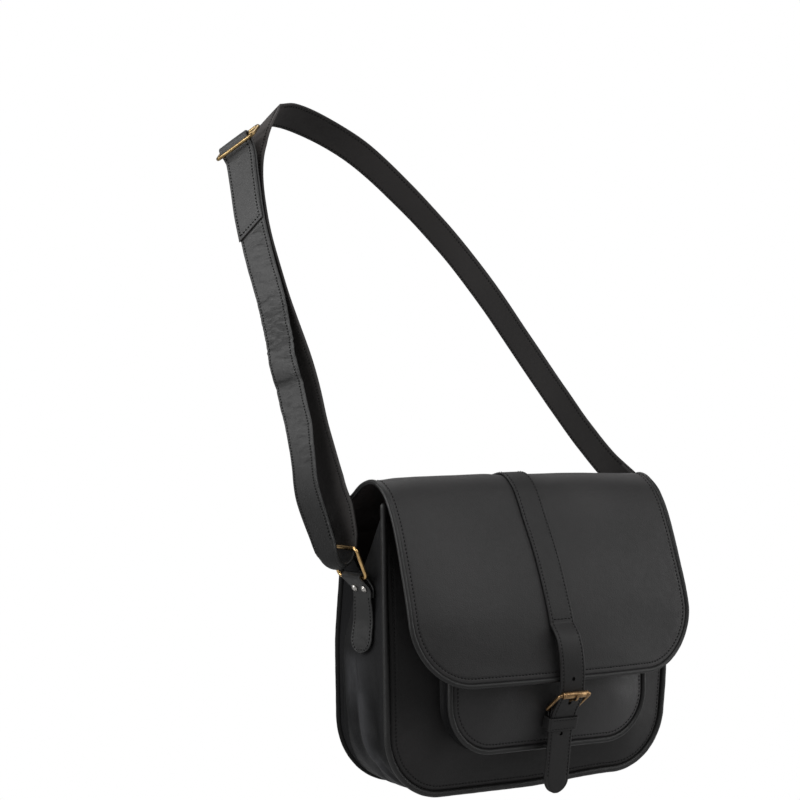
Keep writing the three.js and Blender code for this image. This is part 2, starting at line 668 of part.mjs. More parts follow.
function pocketGusset() {
  const columns = 3;
  const sides = [0, LEATHER].map((depth) => {
    const inset = POCKET_PIPING_RADIUS - LEATHER / 2 + depth;
    const line = rim(POCKET_HALF, POCKET_FOOT, POCKET_CORNER, POCKET_TOP, inset, { side: 4, arc: 7, foot: 4 });
    return line.map(({ x, z, nx, nz }) => Array.from({ length: columns + 1 }, (_, j) => {
      const share = j / columns;
      const foremost = -POCKET_FACE + POCKET_PIPING_RADIUS + GAP;
      const rearmost = Math.min(frontFace(x, z), frontFace(x - nx * 2, z - nz * 2)) - GAP - 0.4;
      const slack = 1.6 * Math.sin(Math.PI * share);
      return xyz(x - nx * slack, mix(foremost, rearmost, share), z - nz * slack);
    }));
  });
  return wall(sides[0], sides[1]);
}

// ---------------------------------------------------------------- the closure

const closureX = (z) => lookup(CLOSURE_DRIFT, 'z', 'x', z);

function closureLine() {
  const points = [];
  const faces = [];
  const runs = FLAP_SECTION.flatMap(({ run }, i) => (i ? [(run + FLAP_SECTION[i - 1].run) / 2, run] : [run + 4]));
  for (const run of [...runs.filter((value) => value < CLOSURE_SEAM - 4), CLOSURE_SEAM]) {
    const bare = flapPoint(0, run, FLAP_HALF);
    const normal = flapNormal(0, clamp(run, 1.5, FLAP_RUN - 1.5), FLAP_HALF);
    const x = bare.y > 0 ? 0 : closureX(bare.z);
    const point = flapPoint(x / FLAP_HALF, run, FLAP_HALF);
    points.push(point.addScaledVector(normal, 2 * GAP + CLOSURE_THICK / 2));
    faces.push(normal);
  }
  const fall = new THREE.CatmullRomCurve3([points[points.length - 1], ...CLOSURE_FALL.map(({ y, z }) => xyz(closureX(z), y, z))]);
  const steps = 42;
  for (let k = 1; k <= steps; k += 1) {
    points.push(fall.getPointAt(k / steps));
    faces.push(xyz(0, -1, -0.3));
  }
  return { points, faces };
}

function closureStrap() {
  const { points, faces } = closureLine();
  const foot = points[points.length - 1];
  const bend = CLOSURE_WIDTH / 2;
  const widths = points.map((point) => {
    const left = point.distanceTo(foot);
    return left < bend ? Math.max(2 * Math.sqrt(bend ** 2 - (bend - left) ** 2), 7) : CLOSURE_WIDTH;
  });
  const holes = CLOSURE_HOLES.map(({ z }) => {
    let best = 1;
    points.forEach((point, i) => {
      if (point.y < 0 && i > 0 && i < points.length - 1 && Math.abs(point.z - z) < Math.abs(points[best].z - z)) best = i;
    });
    const along = points[best + 1].clone().sub(points[best - 1]).normalize();
    const face = squareTo(along, faces[best]);
    const punch = new THREE.CylinderGeometry(HOLE_RADIUS, HOLE_RADIUS, 4 * CLOSURE_THICK, 10);
    punch.applyQuaternion(new THREE.Quaternion().setFromUnitVectors(xyz(0, 1, 0), face));
    const middle = points[best].clone().addScaledVector(along, (z - points[best].z) / along.z);
    punch.translate(middle.x, middle.y, middle.z);
    return punch;
  });
  return cut(strap(points, faces, widths, CLOSURE_THICK), [...holes, buckleProng(PRONG_WIRE + 2 * GAP)]);
}

const closureAtBuckle = closureX(HINGE.z);

function buckleFrame() {
  const foot = xyz(closureAtBuckle, HINGE.y, HINGE.z);
  const head = xyz(closureAtBuckle, ROLLER.y, ROLLER.z);
  const up = head.clone().sub(foot);
  const half = up.length() / 2;
  up.normalize();
  const across = xyz(1, 0, 0);
  const normal = across.clone().cross(up);
  const line = roundedLoop(foot.clone().add(head).multiplyScalar(0.5), across, up, BUCKLE_HALF, half, 2.4, 3);
  return rod(line, line.map(() => normal), BUCKLE_WIRE, 8, true);
}

function buckleRoller() {
  const bore = BUCKLE_WIRE + GAP;
  const half = ROLLER.length / 2;
  const profile = [[bore, -half], [ROLLER.radius, -half], [ROLLER.radius, half], [bore, half], [bore, -half]];
  const geometry = new THREE.LatheGeometry(profile.map(([r, h]) => new THREE.Vector2(r, h)), 14);
  geometry.rotateZ(Math.PI / 2);
  geometry.translate(closureAtBuckle, ROLLER.y, ROLLER.z);
  return geometry;
}

// The prong turns round the hinge bar, goes through the strap and lies on the
// roller; angles are measured from -Y towards +Z.
function buckleProng(radius) {
  const points = [];
  const about = (centre, radius, from, to, steps) => {
    for (let k = 0; k <= steps; k += 1) {
      const angle = THREE.MathUtils.degToRad(mix(from, to, k / steps));
      points.push(xyz(closureAtBuckle, centre.y - radius * Math.cos(angle), centre.z + radius * Math.sin(angle)));
    }
  };
  about(HINGE, BUCKLE_WIRE + GAP + PRONG_WIRE, 300, 102, 8);
  about(ROLLER, ROLLER.radius + GAP + PRONG_WIRE, -118, -8, 5);
  return rod(points, points.map(() => xyz(1, 0, 0)), radius, 6);
}

function buckleTab() {
  const points = TAB_LEGS.map(({ z, inner }) => xyz(closureAtBuckle, inner, z));
  const radius = BUCKLE_WIRE + 1.7 * GAP + TAB_THICK / 2;
  for (let k = 0; k <= 8; k += 1) {
    const angle = Math.PI * (k / 8);
    points.push(xyz(closureAtBuckle, HINGE.y + radius * Math.cos(angle), HINGE.z + radius * Math.sin(angle)));
  }
  points.push(...[...TAB_LEGS].reverse().map(({ z, outer }) => xyz(closureAtBuckle, outer, z)));
  const along = tangents(points);
  const faces = along.map((t) => xyz(1, 0, 0).cross(t).negate());
  const body = strap(points, faces, points.map(() => CLOSURE_WIDTH), TAB_THICK);
  const slot = new THREE.BoxGeometry(2 * (PRONG_WIRE + 0.8), 16, 13);
  slot.translate(closureAtBuckle, HINGE.y, HINGE.z + 1.5);
  return cut(body, [slot]);
}

function keeperBand() {
  const along = xyz(0, KEEPER.slope, 1).normalize();
  const face = xyz(0, -1, KEEPER.slope).normalize();
  const z = (KEEPER.foot + KEEPER.top) / 2;
  const front = KEEPER.front - CLOSURE_THICK / 2 - 2.5 * GAP - KEEPER.thick / 2;
  const middle = xyz(closureX(z), (front + KEEPER.back) / 2, z);
  const depth = ((KEEPER.back - front) / 2) * -face.y;
  const tall = (KEEPER.top - KEEPER.foot) / 2;
  const inner = roundedLoop(middle, xyz(1, 0, 0), face, KEEPER.half - KEEPER.thick / 2, depth - KEEPER.thick / 2, 1, 2);
  const outer = roundedLoop(middle, xyz(1, 0, 0), face, KEEPER.half + KEEPER.thick / 2, depth + KEEPER.thick / 2, 1 + KEEPER.thick, 2);
  return sweep(inner.map((point, i) => [
    point.clone().addScaledVector(along, -tall),
    outer[i].clone().addScaledVector(along, -tall),
    outer[i].clone().addScaledVector(along, tall),
    point.clone().addScaledVector(along, tall),
  ]), true);
}

// ------------------------------------------------------------ rings and tabs

function ring(side) {
  const foot = xyz(side * RING_FOOT.x, RING_Y, RING_FOOT.z);
  const head = xyz(side * RING_HEAD.x, RING_Y, RING_HEAD.z);
  const up = head.clone().sub(foot);
  const half = up.length() / 2;
  up.normalize();
  const across = xyz(0, 1, 0);
  const line = roundedLoop(foot.clone().add(head).multiplyScalar(0.5), across, up, RING_HALF, half, RING_BEND, 4);
  return rod(line, line.map(() => across.clone().cross(up)), RING_WIRE, 8, true);
}

const tabY = (z) => lookup(SIDE_TAB_LEAN, 'z', 'y', z);

// Place and slope of a flat tab that lies on the gusset at a height.
function gussetUnderTab(z, side) {
  const flat = Math.abs(sideways(side * (BAG_WIDTH / 2 - PIPING_RADIUS + LEATHER / 2), z));
  const half = SIDE_TAB.width / 2;
  const out = (k) => gussetOut(z, (tabY(z) + k * half) / (BAG_DEPTH / 2 - PIPING_RADIUS - GAP));
  const slope = clamp((out(1) - out(-1)) / (2 * half), -0.25, 0.25);
  return { x: flat + Math.max(...[-1, -0.5, 0, 0.5, 1].map((k) => out(k) - slope * k * half)), slope };
}

function sideTabLine(side) {
  const lift = 2.4 * GAP + TAB_THICK / 2;
  const radius = RING_WIRE + 2.4 * GAP + TAB_THICK / 2;
  const line = [];
  for (const z of [SIDE_TAB.innerFoot, 194]) {
    line.push({ x: Math.min(gussetUnderTab(z, side).x + lift + 0.3, RING_FOOT.x - radius), z, width: SIDE_TAB.width, slope: 0 });
  }
  for (let k = 0; k <= 8; k += 1) {
    const angle = Math.PI * (1 - k / 8);
    line.push({ x: RING_FOOT.x + radius * Math.cos(angle), z: RING_FOOT.z + radius * Math.sin(angle), width: SIDE_TAB.loopWidth, slope: 0 });
  }
  const innerLeg = line[0].x + TAB_THICK + 2 * GAP;
  line.push({ x: mix(innerLeg, RING_FOOT.x + radius, 0.62), z: 198, width: SIDE_TAB.loopWidth - 0.5, slope: 0 });
  line.push({ x: innerLeg + 0.5, z: 191, width: SIDE_TAB.width + 1, slope: 0 });
  line.push({ x: innerLeg, z: 183, width: SIDE_TAB.width, slope: 0 });
  for (const z of [176, 164, 152]) {
    const under = gussetUnderTab(z, side);
    line.push({ x: Math.max(under.x + lift, z > 170 ? innerLeg - 0.8 : 0), z, width: SIDE_TAB.width, slope: under.slope });
  }
  const bend = SIDE_TAB.width / 2;
  for (let k = 0; k <= 6; k += 1) {
    const angle = (Math.PI / 2) * (k / 6);
    const z = SIDE_TAB.foot + bend * (1 - Math.sin(angle));
    const under = gussetUnderTab(z, side);
    line.push({ x: under.x + lift, z, width: Math.max(SIDE_TAB.width * Math.cos(angle), 6), slope: under.slope });
  }
  return line;
}

function sideTab(side) {
  const line = sideTabLine(side);
  const along = tangents(line.map(({ x, z }) => xyz(side * x, 0, z)));
  return sweep(line.map(({ x, z, width, slope }, i) => {
    const across = xyz(side * slope, 1, 0).normalize();
    const face = along[i].clone().cross(across).normalize();
    const corner = (end, up) => xyz(side * x, tabY(z), z)
      .addScaledVector(across, (end * width) / 2)
      .addScaledVector(face, (up * TAB_THICK) / 2);
    return [corner(-1, -1), corner(1, -1), corner(1, 1), corner(-1, 1)];
  }));
}

function rivet(side, y) {
  const line = sideTabLine(side);
  const low = line.find(({ z }, i) => i > 10 && z < RIVET.z);
  const high = line[line.indexOf(low) - 1];
  const share = (RIVET.z - low.z) / (high.z - low.z);
  const x = mix(low.x, high.x, share);
  const out = xyz(high.z - low.z, 0, -(high.x - low.x)).normalize();
  const profile = [[0, 0], [1, 0], [1, 0.3], [0.85, 0.66], [0.5, 0.93], [0, 1]];
  const geometry = new THREE.LatheGeometry(
    profile.map(([r, h]) => new THREE.Vector2(r * RIVET.radius, h * RIVET.height)), 12);
  geometry.applyQuaternion(new THREE.Quaternion().setFromUnitVectors(xyz(0, 1, 0), xyz(side * out.x, 0, out.z)));
  const lift = TAB_THICK / 2 + 2.6 * GAP;
  geometry.translate(side * (x + out.x * lift), tabY(RIVET.z) + y, RIVET.z + out.z * lift);
  return geometry;
}

// ----------------------------------------------------- shoulder strap, slider

const sliderAlong = vec(SLIDER_ALONG).normalize();
const sliderUp = squareTo(sliderAlong, vec(SLIDER_UP));
const sliderOut = sliderAlong.clone().cross(sliderUp).normalize();
const sliderAt = vec(SLIDER_AT);

function slider() {
  const up = sliderUp.clone().multiplyScalar(SLIDER.reach).addScaledVector(sliderOut, -SLIDER.tilt);
  const half = up.length();
  up.normalize();
  const normal = sliderAlong.clone().cross(up);
  const line = roundedLoop(sliderAt, sliderAlong, up, SLIDER.half, half, SLIDER.bend, 3);
  const frame = rod(line, line.map(() => normal), SLIDER.wire, 8, true);
  const ends = [-1, -0.5, 0.5, 1].map((k) => sliderAt.clone().addScaledVector(sliderAlong, k * SLIDER.half));
  return join(frame, rod(ends, ends.map(() => normal), SLIDER.bar, 8));
}

const station = ({ x, y, z, nx, ny, nz }) => ({ point: xyz(x, y, z), face: xyz(nx, ny, nz).normalize() });

// Smooth stretch through table rows, with a step of about the given length.
function stretch(stations, step) {
  const curve = new THREE.CatmullRomCurve3(stations.map(({ point }) => point));
  const count = Math.max(2, Math.round(curve.getLength() / step));
  return Array.from({ length: count + 1 }, (_, k) => {
    const t = curve.getUtoTmapping(k / count) * (stations.length - 1);
    const i = Math.min(Math.floor(t), stations.length - 2);
    return {
      point: curve.getPointAt(k / count),
      face: stations[i].face.clone().lerp(stations[i + 1].face, t - i).normalize(),
    };
  });
}

// The same stretch shifted along its faces.
const shifted = (stations, by) => stations.map(({ point, face }, i) => ({
  point: point.clone().addScaledVector(face, typeof by === 'function' ? by(i) : by), face,
}));

// Turn of the strap round a bar; faces point away from it or towards it.
function turn(centre, from, over, radius, steps, faceSign) {
  return Array.from({ length: steps + 1 }, (_, k) => {
    const angle = Math.PI * (k / steps);
    const out = from.clone().multiplyScalar(Math.cos(angle)).addScaledVector(over, Math.sin(angle));
    return { point: centre.clone().addScaledVector(out, radius), face: out.multiplyScalar(faceSign) };
  });
}

function shoulderStrapLine() {
  const layer = STRAP_THICK / 2;
  // Right ring: the end lies on the inner side and the strap goes up outside.
  const back = stretch(BACK_RUN.map(station), 9);
  const loopRadius = RING_WIRE + 2 * GAP + layer;
  const spread = (distance) => mix(loopRadius, LAYER_STEP / 2, clamp(distance / 22, 0, 1));
  const backStart = back[0].point;
  const outerBack = back.map(({ point, face }) => ({
    point: point.clone().addScaledVector(face, spread(point.distanceTo(backStart)) * clamp((170 - point.distanceTo(backStart)) / 60, 0, 1)), face,
  }));
  const sewn = back.filter(({ point }, i) => i > 0 && point.distanceTo(backStart) < 64).map(({ point, face }) => ({
    point: point.clone().addScaledVector(face, -spread(point.distanceTo(backStart))), face: face.clone(),
  }));
  const ringBar = xyz(RING_HEAD.x, RING_Y, RING_HEAD.z);
  const ringOut = BACK_RUN[0];
  const outDirection = xyz(ringOut.nx, ringOut.ny, ringOut.nz).normalize();
  const down = xyz(0, 0, -1);
  const rightTurn = turn(ringBar, outDirection.clone().negate(), squareTo(outDirection, down), loopRadius, 7, -1)
    .map(({ point, face }) => ({ point, face: face.clone() }));
  // Faces on the sewn end point to the bar, and so do the main layer's inner ones.
  const sewnEnd = [...sewn].reverse().map(({ point, face }) => ({ point, face }));
  const mainLayer = outerBack.slice(1).map(({ point, face }) => ({ point, face: face.clone().negate() }));

  // Over the shoulder, down the chest, under the left ring's upper bar.
  const chest = stretch([...BACK_RUN.slice(-1), ...CHEST_RUN].map(station), 14).slice(1);
  const slack = stretch([...CHEST_RUN.slice(-1), ...SLACK_TURN, ...FRONT_FALL.slice(0, 1)].map(station), 4.5).slice(1);

  // Up again outside, round the slider's middle bar, and the end turned over.
  const sliderRadius = SLIDER.bar + SLIDER.slack + layer;
  const turnAt = sliderAt.clone().addScaledVector(sliderAlong, -SLIDER.offset);
  const inner = {
    point: turnAt.clone().addScaledVector(sliderOut, -sliderRadius),
    face: sliderOut.clone().negate(),
  };
  const approach = {
    point: turnAt.clone().addScaledVector(sliderUp, -18).addScaledVector(sliderOut, -2),
    face: sliderOut.clone().negate().lerp(station(FRONT_FALL.at(-1)).face, 0.4).normalize(),
  };
  const front = stretch([...FRONT_FALL.map(station), approach, inner], 7).slice(1);
  const sliderTurn = turn(turnAt, sliderOut.clone().negate(), sliderUp, sliderRadius, 6, 1).slice(1);
  const end = [];
  let gone = 0;
  for (let i = front.length - 2; i > 0 && gone < STRAP_END_RUN; i -= 1) {
    gone += front[i].point.distanceTo(front[i + 1].point);
    const by = mix(2 * sliderRadius, LAYER_STEP + 0.4, clamp(gone / 14, 0, 1));
    end.push({ point: front[i].point.clone().addScaledVector(front[i].face, -by), face: front[i].face.clone().negate() });
  }
  const flip = ({ point, face }) => ({ point, face: face.clone().negate() });
  return [
    ...sewnEnd.map(flip),
    ...rightTurn.map(flip),
    ...mainLayer.map(flip),
    ...chest, ...slack, ...front, ...sliderTurn, ...end,
  ];
}

function shoulderStrap() {
  const line = shoulderStrapLine();
  const skews = [];
  skews[line.length - 1] = STRAP_END_SKEW;
  return strap(line.map(({ point }) => point), line.map(({ face }) => face), line.map(() => STRAP_WIDTH), STRAP_THICK, skews);
}

// ------------------------------------------------------------------ assembly

const bag = new THREE.Group();

function add(name, geometry, finish) {
  const mesh = new THREE.Mesh(geometry, new THREE.MeshStandardMaterial({ ...COLOURS[finish] }));
  mesh.name = name;
  bag.add(mesh);
}

add('back_panel', backPanelShape(), 'leather');
add('front_panel', frontPanel, 'leather');
add('gusset', gussetWall(), 'gusset');
add('piping_front', pipingFront, 'edge');
add('piping_back', pipingBack, 'edge');
add('flap', flapWall(), 'leather');
add('flap_piping', flapPiping(), 'edge');
add('pocket_front', pocketFront, 'leather');
add('pocket_gusset', pocketGusset(), 'gusset');
add('pocket_piping', pocketPiping, 'edge');
add('flap_strap', closureStrap(), 'strap');
add('buckle_tab', buckleTab(), 'strap');
add('keeper', keeperBand(), 'strap');
add('buckle_frame', buckleFrame(), 'brass');
add('buckle_roller', buckleRoller(), 'brass');
add('buckle_prong', buckleProng(PRONG_WIRE), 'brass');
for (const [label, side] of [['left', -1], ['right', 1]]) {
  add(`ring_${label}`, ring(side), 'brass');
  add(`side_tab_${label}`, sideTab(side), 'strap');
  add(`rivet_${label}_front`, rivet(side, -RIVET.y), 'steel');
  add(`rivet_${label}_back`, rivet(side, RIVET.y), 'steel');
}
add('shoulder_strap', shoulderStrap(), 'strap');
add('strap_slider', slider(), 'brass');

bag.position.set(-SEAT.x, -SEAT.y, -SEAT.z);

const root = new THREE.Group();
root.name = 'shoulder_bag';
root.add(bag);

export default root;
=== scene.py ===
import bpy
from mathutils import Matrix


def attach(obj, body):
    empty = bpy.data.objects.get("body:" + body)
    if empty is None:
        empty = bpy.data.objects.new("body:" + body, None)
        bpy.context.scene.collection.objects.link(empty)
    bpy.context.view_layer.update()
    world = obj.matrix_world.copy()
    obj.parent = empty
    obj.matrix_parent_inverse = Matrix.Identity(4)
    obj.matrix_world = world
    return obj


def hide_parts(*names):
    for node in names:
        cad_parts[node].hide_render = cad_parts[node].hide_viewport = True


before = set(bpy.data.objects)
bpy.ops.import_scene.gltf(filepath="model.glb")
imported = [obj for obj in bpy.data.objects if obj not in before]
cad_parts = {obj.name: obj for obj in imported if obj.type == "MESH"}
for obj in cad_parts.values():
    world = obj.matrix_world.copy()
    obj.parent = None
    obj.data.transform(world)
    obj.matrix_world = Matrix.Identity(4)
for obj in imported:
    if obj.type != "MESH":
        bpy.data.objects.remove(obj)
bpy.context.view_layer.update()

# Black leather shoulder bag: the look of each piece. Shapes are worked out in
# millimetres in the bag's own frame (zero at the middle of the lower edge,
# front towards -Y) and moved to the part's frame when a mesh is made.

import math

import bpy
import numpy as np
from mathutils import Matrix

SEAT = np.array([-66.0, 292.0, 642.0])

# ---------------------------------------------------------------- sizes, tables

BAG_WIDTH, BAG_DEPTH, PANEL_HEIGHT = 320.0, 80.0, 268.0
BACK_HEIGHT, BACK_FOOT, BACK_CORNER, CORNER_RADIUS = 240.0, 4.5, 66.0, 60.0
LEATHER, GAP, PIPING_RADIUS = 2.0, 0.35, 3.2
FLAP_HALF, FLAP_LEATHER, FLAP_CORNER, FLAP_PIPING_RADIUS = 162.0, 2.4, 62.0, 2.4
POCKET_HALF, POCKET_FOOT, POCKET_TOP, POCKET_CORNER = 113.0, 40.0, 158.0, 48.0
POCKET_FACE, POCKET_PIPING_RADIUS = 74.0, 2.8
CLOSURE_WIDTH, CLOSURE_THICK, CLOSURE_SEAM = 27.0, 3.0, 276.0
TAB_THICK = 2.0
ROLLER_Y, ROLLER_Z, ROLLER_RADIUS, ROLLER_LENGTH = -112.0, 93.5, 3.2, 28.5
HINGE_Y, HINGE_Z = -91.0, 79.0
BUCKLE_WIRE, BUCKLE_HALF, PRONG_WIRE = 1.6, 17.3, 1.2
STRAP_WIDTH, STRAP_THICK, LAYER_STEP = 36.0, 2.6, 3.05
RING_WIRE, RING_HALF, RING_Y, RING_BEND = 1.8, 22.5, -5.0, 4.4
RING_FOOT, RING_HEAD = (168.5, 203.0), (180.2, 230.3)
TAB_LOOP_WIDTH, TAB_WIDTH, TAB_FOOT, TAB_INNER_FOOT = 30.0, 28.0, 134.0, 185.0
RIVET_RADIUS, RIVET_HEIGHT, RIVET_Y, RIVET_Z = 3.5, 1.7, 7.7, 193.5
SLIDER_HALF, SLIDER_REACH, SLIDER_TILT, SLIDER_OFFSET = 24.0, 8.5, 9.4, 3.2
SLIDER_WIRE, SLIDER_BAR, SLIDER_BEND, SLIDER_SLACK = 1.9, 1.7, 4.0, 1.6

# Flap from the back seam to the lip: run, then y and z in the middle, at the
# left edge and at the right edge.
FLAP_SECTION = np.array([
    (0, 48, 214, 48, 214, 48, 214),
    (31, 47.4, 245, 47.4, 244, 47.4, 244),
    (51, 39, 263, 39, 259.5, 39, 259.5),
    (70, 24.5, 275, 24, 268, 25, 269),
    (88, 8, 284, 9, 276, 10, 278.5),
    (104, -6, 288.6, -6, 286, -3.5, 285),
    (118, -18, 290.3, -21, 290.4, -15, 284.6),
    (129, -27.5, 286.8, -33.5, 288.8, -25.5, 279.2),
    (144, -38.5, 276.6, -48, 277.6, -36.5, 270),
    (170, -51.5, 253.5, -61.5, 253, -49, 250.5),
    (216, -73, 213, -74.5, 211, -64.8, 211),
    (269, -91.5, 163.5, -86, 165, -80, 163),
    (328, -104, 105, -93, 105, -84.5, 105),
])
FLAP_RUN = FLAP_SECTION[-1, 0]
FRONT_SWELL = np.array([(0, 1), (140, 1), (190, 0.68), (225, 0.2), (250, -0.25), (268, -0.5)])
GUSSET_SWELL = np.array([
    (0, 0), (20, 2), (50, 5), (80, 6.8), (108, 7.6), (134, 8), (152, 5.6), (175, 2.2), (206, 0.6), (258, 0)])
# Folds of the gusset: height, span, place across, lean, outwards, spread.
GUSSET_FOLDS = [
    (74, 46, -0.05, 0.002, 2.4, 0.17),
    (66, 42, 0.36, -0.004, -3.2, 0.2),
    (44, 30, -0.42, 0.012, -2.6, 0.18),
    (32, 24, 0.1, -0.014, -2.2, 0.16),
]
CLOSURE_FALL = np.array([
    (-103.4, 147), (-107.2, 138), (-109.4, 123.5), (-108.7, 108), (-107.5, 100), (-106.6, 93.5),
    (-103, 87), (-97.6, 79), (-95.2, 74), (-92.8, 67.5), (-90.8, 60), (-89.2, 50), (-87, 30),
    (-84.7, 10), (-83.4, 0.5)])
CLOSURE_DRIFT = np.array([(0, -0.8), (64, 1), (90, 2), (108, 1.4), (124, 0.4), (145, 0), (291, 0)])
CLOSURE_HOLES = (108.5, 86.2, 56.0)
SIDE_TAB_LEAN = np.array([(134, -12), (150, -12), (166, -12.5), (192, -13.5), (198, -10), (203, -6.2)])
TAB_LEGS = [(58, -84.6, -87), (62, -85.9, -88.3), (67.5, -87.4, -89.8), (74, -88.5, -91.8)]

# Shoulder strap: place and direction of its good side.
BACK_RUN = np.array([
    (180.2, -5, 230.3, 0.97, 0, 0.2),
    (177.2, -2.5, 246, 0.97, 0, 0.2),
    (170.4, 11, 265, 0.96, 0, 0.22),
    (156, 38, 291, 0.98, -0.02, 0.16),
    (144.5, 63, 321, 0.99, -0.04, 0.1),
    (135, 90, 356, 0.99, -0.05, 0.08),
    (126, 140, 411, 0.98, 0, 0.12),
    (115, 182, 461, 0.95, 0.1, 0.22),
    (96, 222, 512, 0.88, 0.2, 0.38),
    (64, 258, 564, 0.76, 0.34, 0.54),
    (24, 284, 608, 0.5, 0.5, 0.7),
    (-21, 296, 634, 0.16, 0.58, 0.79),
    (-55, 293.4, 643.2, -0.1, 0.58, 0.79),
    (-76.7, 285.4, 641.8, -0.3, 0.5, 0.8),
])
CHEST_RUN = np.array([
    (-90.8, 275.8, 630, -0.62, 0.2, 0.76),
    (-106.3, 269.4, 608, -0.88, -0.15, 0.45),
    (-117.5, 259.5, 581, -0.92, -0.24, 0.3),
    (-125.5, 236, 531, -0.95, -0.25, 0.12),
    (-131.5, 190, 459, -0.95, -0.28, 0.05),
    (-138, 130, 384, -0.95, -0.28, 0),
    (-151, 84, 328, -0.95, -0.3, 0),
    (-164.5, 37, 281, -0.93, -0.36, 0),
    (-172.5, 9, 258, -0.94, -0.32, -0.05),
    (-175.6, -2.5, 242, -0.97, -0.14, -0.12),
    (-176.4, -5, 231.3, -0.98, -0.02, -0.12),
])
SLACK_TURN = np.array([
    (-178, -5, 222.5, -0.98, 0, 0.14),
    (-181.2, -5, 215.4, -0.72, 0, 0.7),
    (-186.6, -5, 211.4, -0.1, 0, 1),
    (-192.4, -5, 213.4, 0.72, 0, 0.7),
    (-195.6, -4.5, 219.6, 0.98, 0, 0.2),
])
FRONT_FALL = np.array([
    (-196.6, -2, 229, 0.99, 0.02, 0.06),
    (-196, 7, 244, 0.98, 0.06, 0.05),
    (-189, 41, 281, 0.97, 0.16, 0),
    (-170.5, 81, 327, 0.96, 0.24, 0),
    (-157.5, 122, 375, 0.95, 0.28, 0),
    (-151, 145, 402, 0.95, 0.28, 0),
    (-139.5, 181, 449, 0.95, 0.28, -0.05),
    (-130.5, 231, 522, 0.95, 0.25, -0.12),
    (-124.2, 256, 574, 0.93, 0.2, -0.28),
])
STRAP_END_RUN, STRAP_END_SKEW = 95.0, 5.2

# --------------------------------------------------------------- number helpers


def vec(*values):
    return np.array(values, float)


def unit(v):
    v = np.asarray(v, float)
    return v / np.maximum(np.linalg.norm(v, axis=-1, keepdims=True), 1e-12)


def bell(value, middle, spread):
    return np.exp(-(((value - middle) / spread) ** 2))


def smoothstep(value, low, high):
    t = np.clip((value - low) / (high - low), 0, 1)
    return t * t * (3 - 2 * t)


def table(rows, column, at):
    """Smooth value of a table's column, by its first column."""
    xs, ys = rows[:, 0], rows[:, column]
    at = np.clip(np.asarray(at, float), xs[0], xs[-1])
    slope = np.empty_like(ys)
    slope[1:-1] = (ys[2:] - ys[:-2]) / (xs[2:] - xs[:-2])
    slope[0] = (ys[1] - ys[0]) / (xs[1] - xs[0])
    slope[-1] = (ys[-1] - ys[-2]) / (xs[-1] - xs[-2])
    i = np.clip(np.searchsorted(xs, at) - 1, 0, len(xs) - 2)
    h = xs[i + 1] - xs[i]
    t = (at - xs[i]) / h
    return ((2 * t ** 3 - 3 * t ** 2 + 1) * ys[i] + (t ** 3 - 2 * t ** 2 + t) * h * slope[i]
            + (3 * t ** 2 - 2 * t ** 3) * ys[i + 1] + (t ** 3 - t ** 2) * h * slope[i + 1])


class Waves:
    """Smooth uneven field from a few sine waves with fixed phases."""

    def __init__(self, seed, length, count=9, dims=3):
        picks = np.random.RandomState(seed)
        self.k = unit(picks.normal(size=(count, dims))) * (2 * math.pi / length) * picks.uniform(0.6, 1.7, (count, 1))
        self.phase = picks.uniform(0, 2 * math.pi, count)

    def __call__(self, points):
        return np.sin(np.asarray(points) @ self.k.T + self.phase).mean(axis=-1) * 1.6


def tangents(points, closed=False):
    points = np.asarray(points)
    if closed:
        return unit(np.roll(points, -1, 0) - np.roll(points, 1, 0))
    step = np.empty_like(points)
    step[1:-1] = points[2:] - points[:-2]
    step[0] = points[1] - points[0]
    step[-1] = points[-1] - points[-2]
    return unit(step)


def square_to(tangent, wish):
    wish = np.broadcast_to(wish, tangent.shape)
    return unit(wish - tangent * np.sum(wish * tangent, axis=-1, keepdims=True))


def catmull(points, per=60):
    """Centripetal Catmull-Rom curve: dense points and their table places."""
    p = np.asarray(points, float)
    ext = np.vstack([2 * p[0] - p[1], p, 2 * p[-1] - p[-2]])
    out, where = [], []
    for i in range(len(p) - 1):
        p0, p1, p2, p3 = ext[i:i + 4]
        d0, d1, d2 = (max(np.linalg.norm(b - a) ** 0.5, 1e-4) for a, b in ((p0, p1), (p1, p2), (p2, p3)))
        t1 = ((p1 - p0) / d0 - (p2 - p0) / (d0 + d1) + (p2 - p1) / d1) * d1
        t2 = ((p2 - p1) / d1 - (p3 - p1) / (d1 + d2) + (p3 - p2) / d2) * d1
        t = np.linspace(0, 1, per, endpoint=i == len(p) - 2)[:, None]
        out.append(p1 + t1 * t + (-3 * p1 + 3 * p2 - 2 * t1 - t2) * t ** 2 + (2 * p1 - 2 * p2 + t1 + t2) * t ** 3)
        where.append(i + t[:, 0])
    return np.vstack(out), np.concatenate(where)


def run_of(points):
    return np.concatenate([[0], np.cumsum(np.linalg.norm(np.diff(points, axis=0), axis=1))])


def resample(points, step, *others):
    """Points at even steps along a row, and other values at the same places."""
    run = run_of(points)
    at = np.linspace(0, run[-1], max(2, int(round(run[-1] / step)) + 1))
    take = lambda values: np.stack([np.interp(at, run, column) for column in np.asarray(values).T], axis=-1)
    return (take(points), *(take(other) for other in others))


def stretch(stations, step):
    """Smooth stretch of strap through table rows: points and good-side directions."""
    points, where = catmull(stations[:, :3])
    i = np.minimum(where.astype(int), len(stations) - 2)
    share = (where - i)[:, None]
    sides = unit(stations[:, 3:])
    return resample(points, step, unit(sides[i] * (1 - share) + sides[i + 1] * share))


# ----------------------------------------------------------------- mesh helpers


def quads(a, b, c, d):
    return np.stack([np.ravel(a), np.ravel(b), np.ravel(c), np.ravel(d)], axis=1)


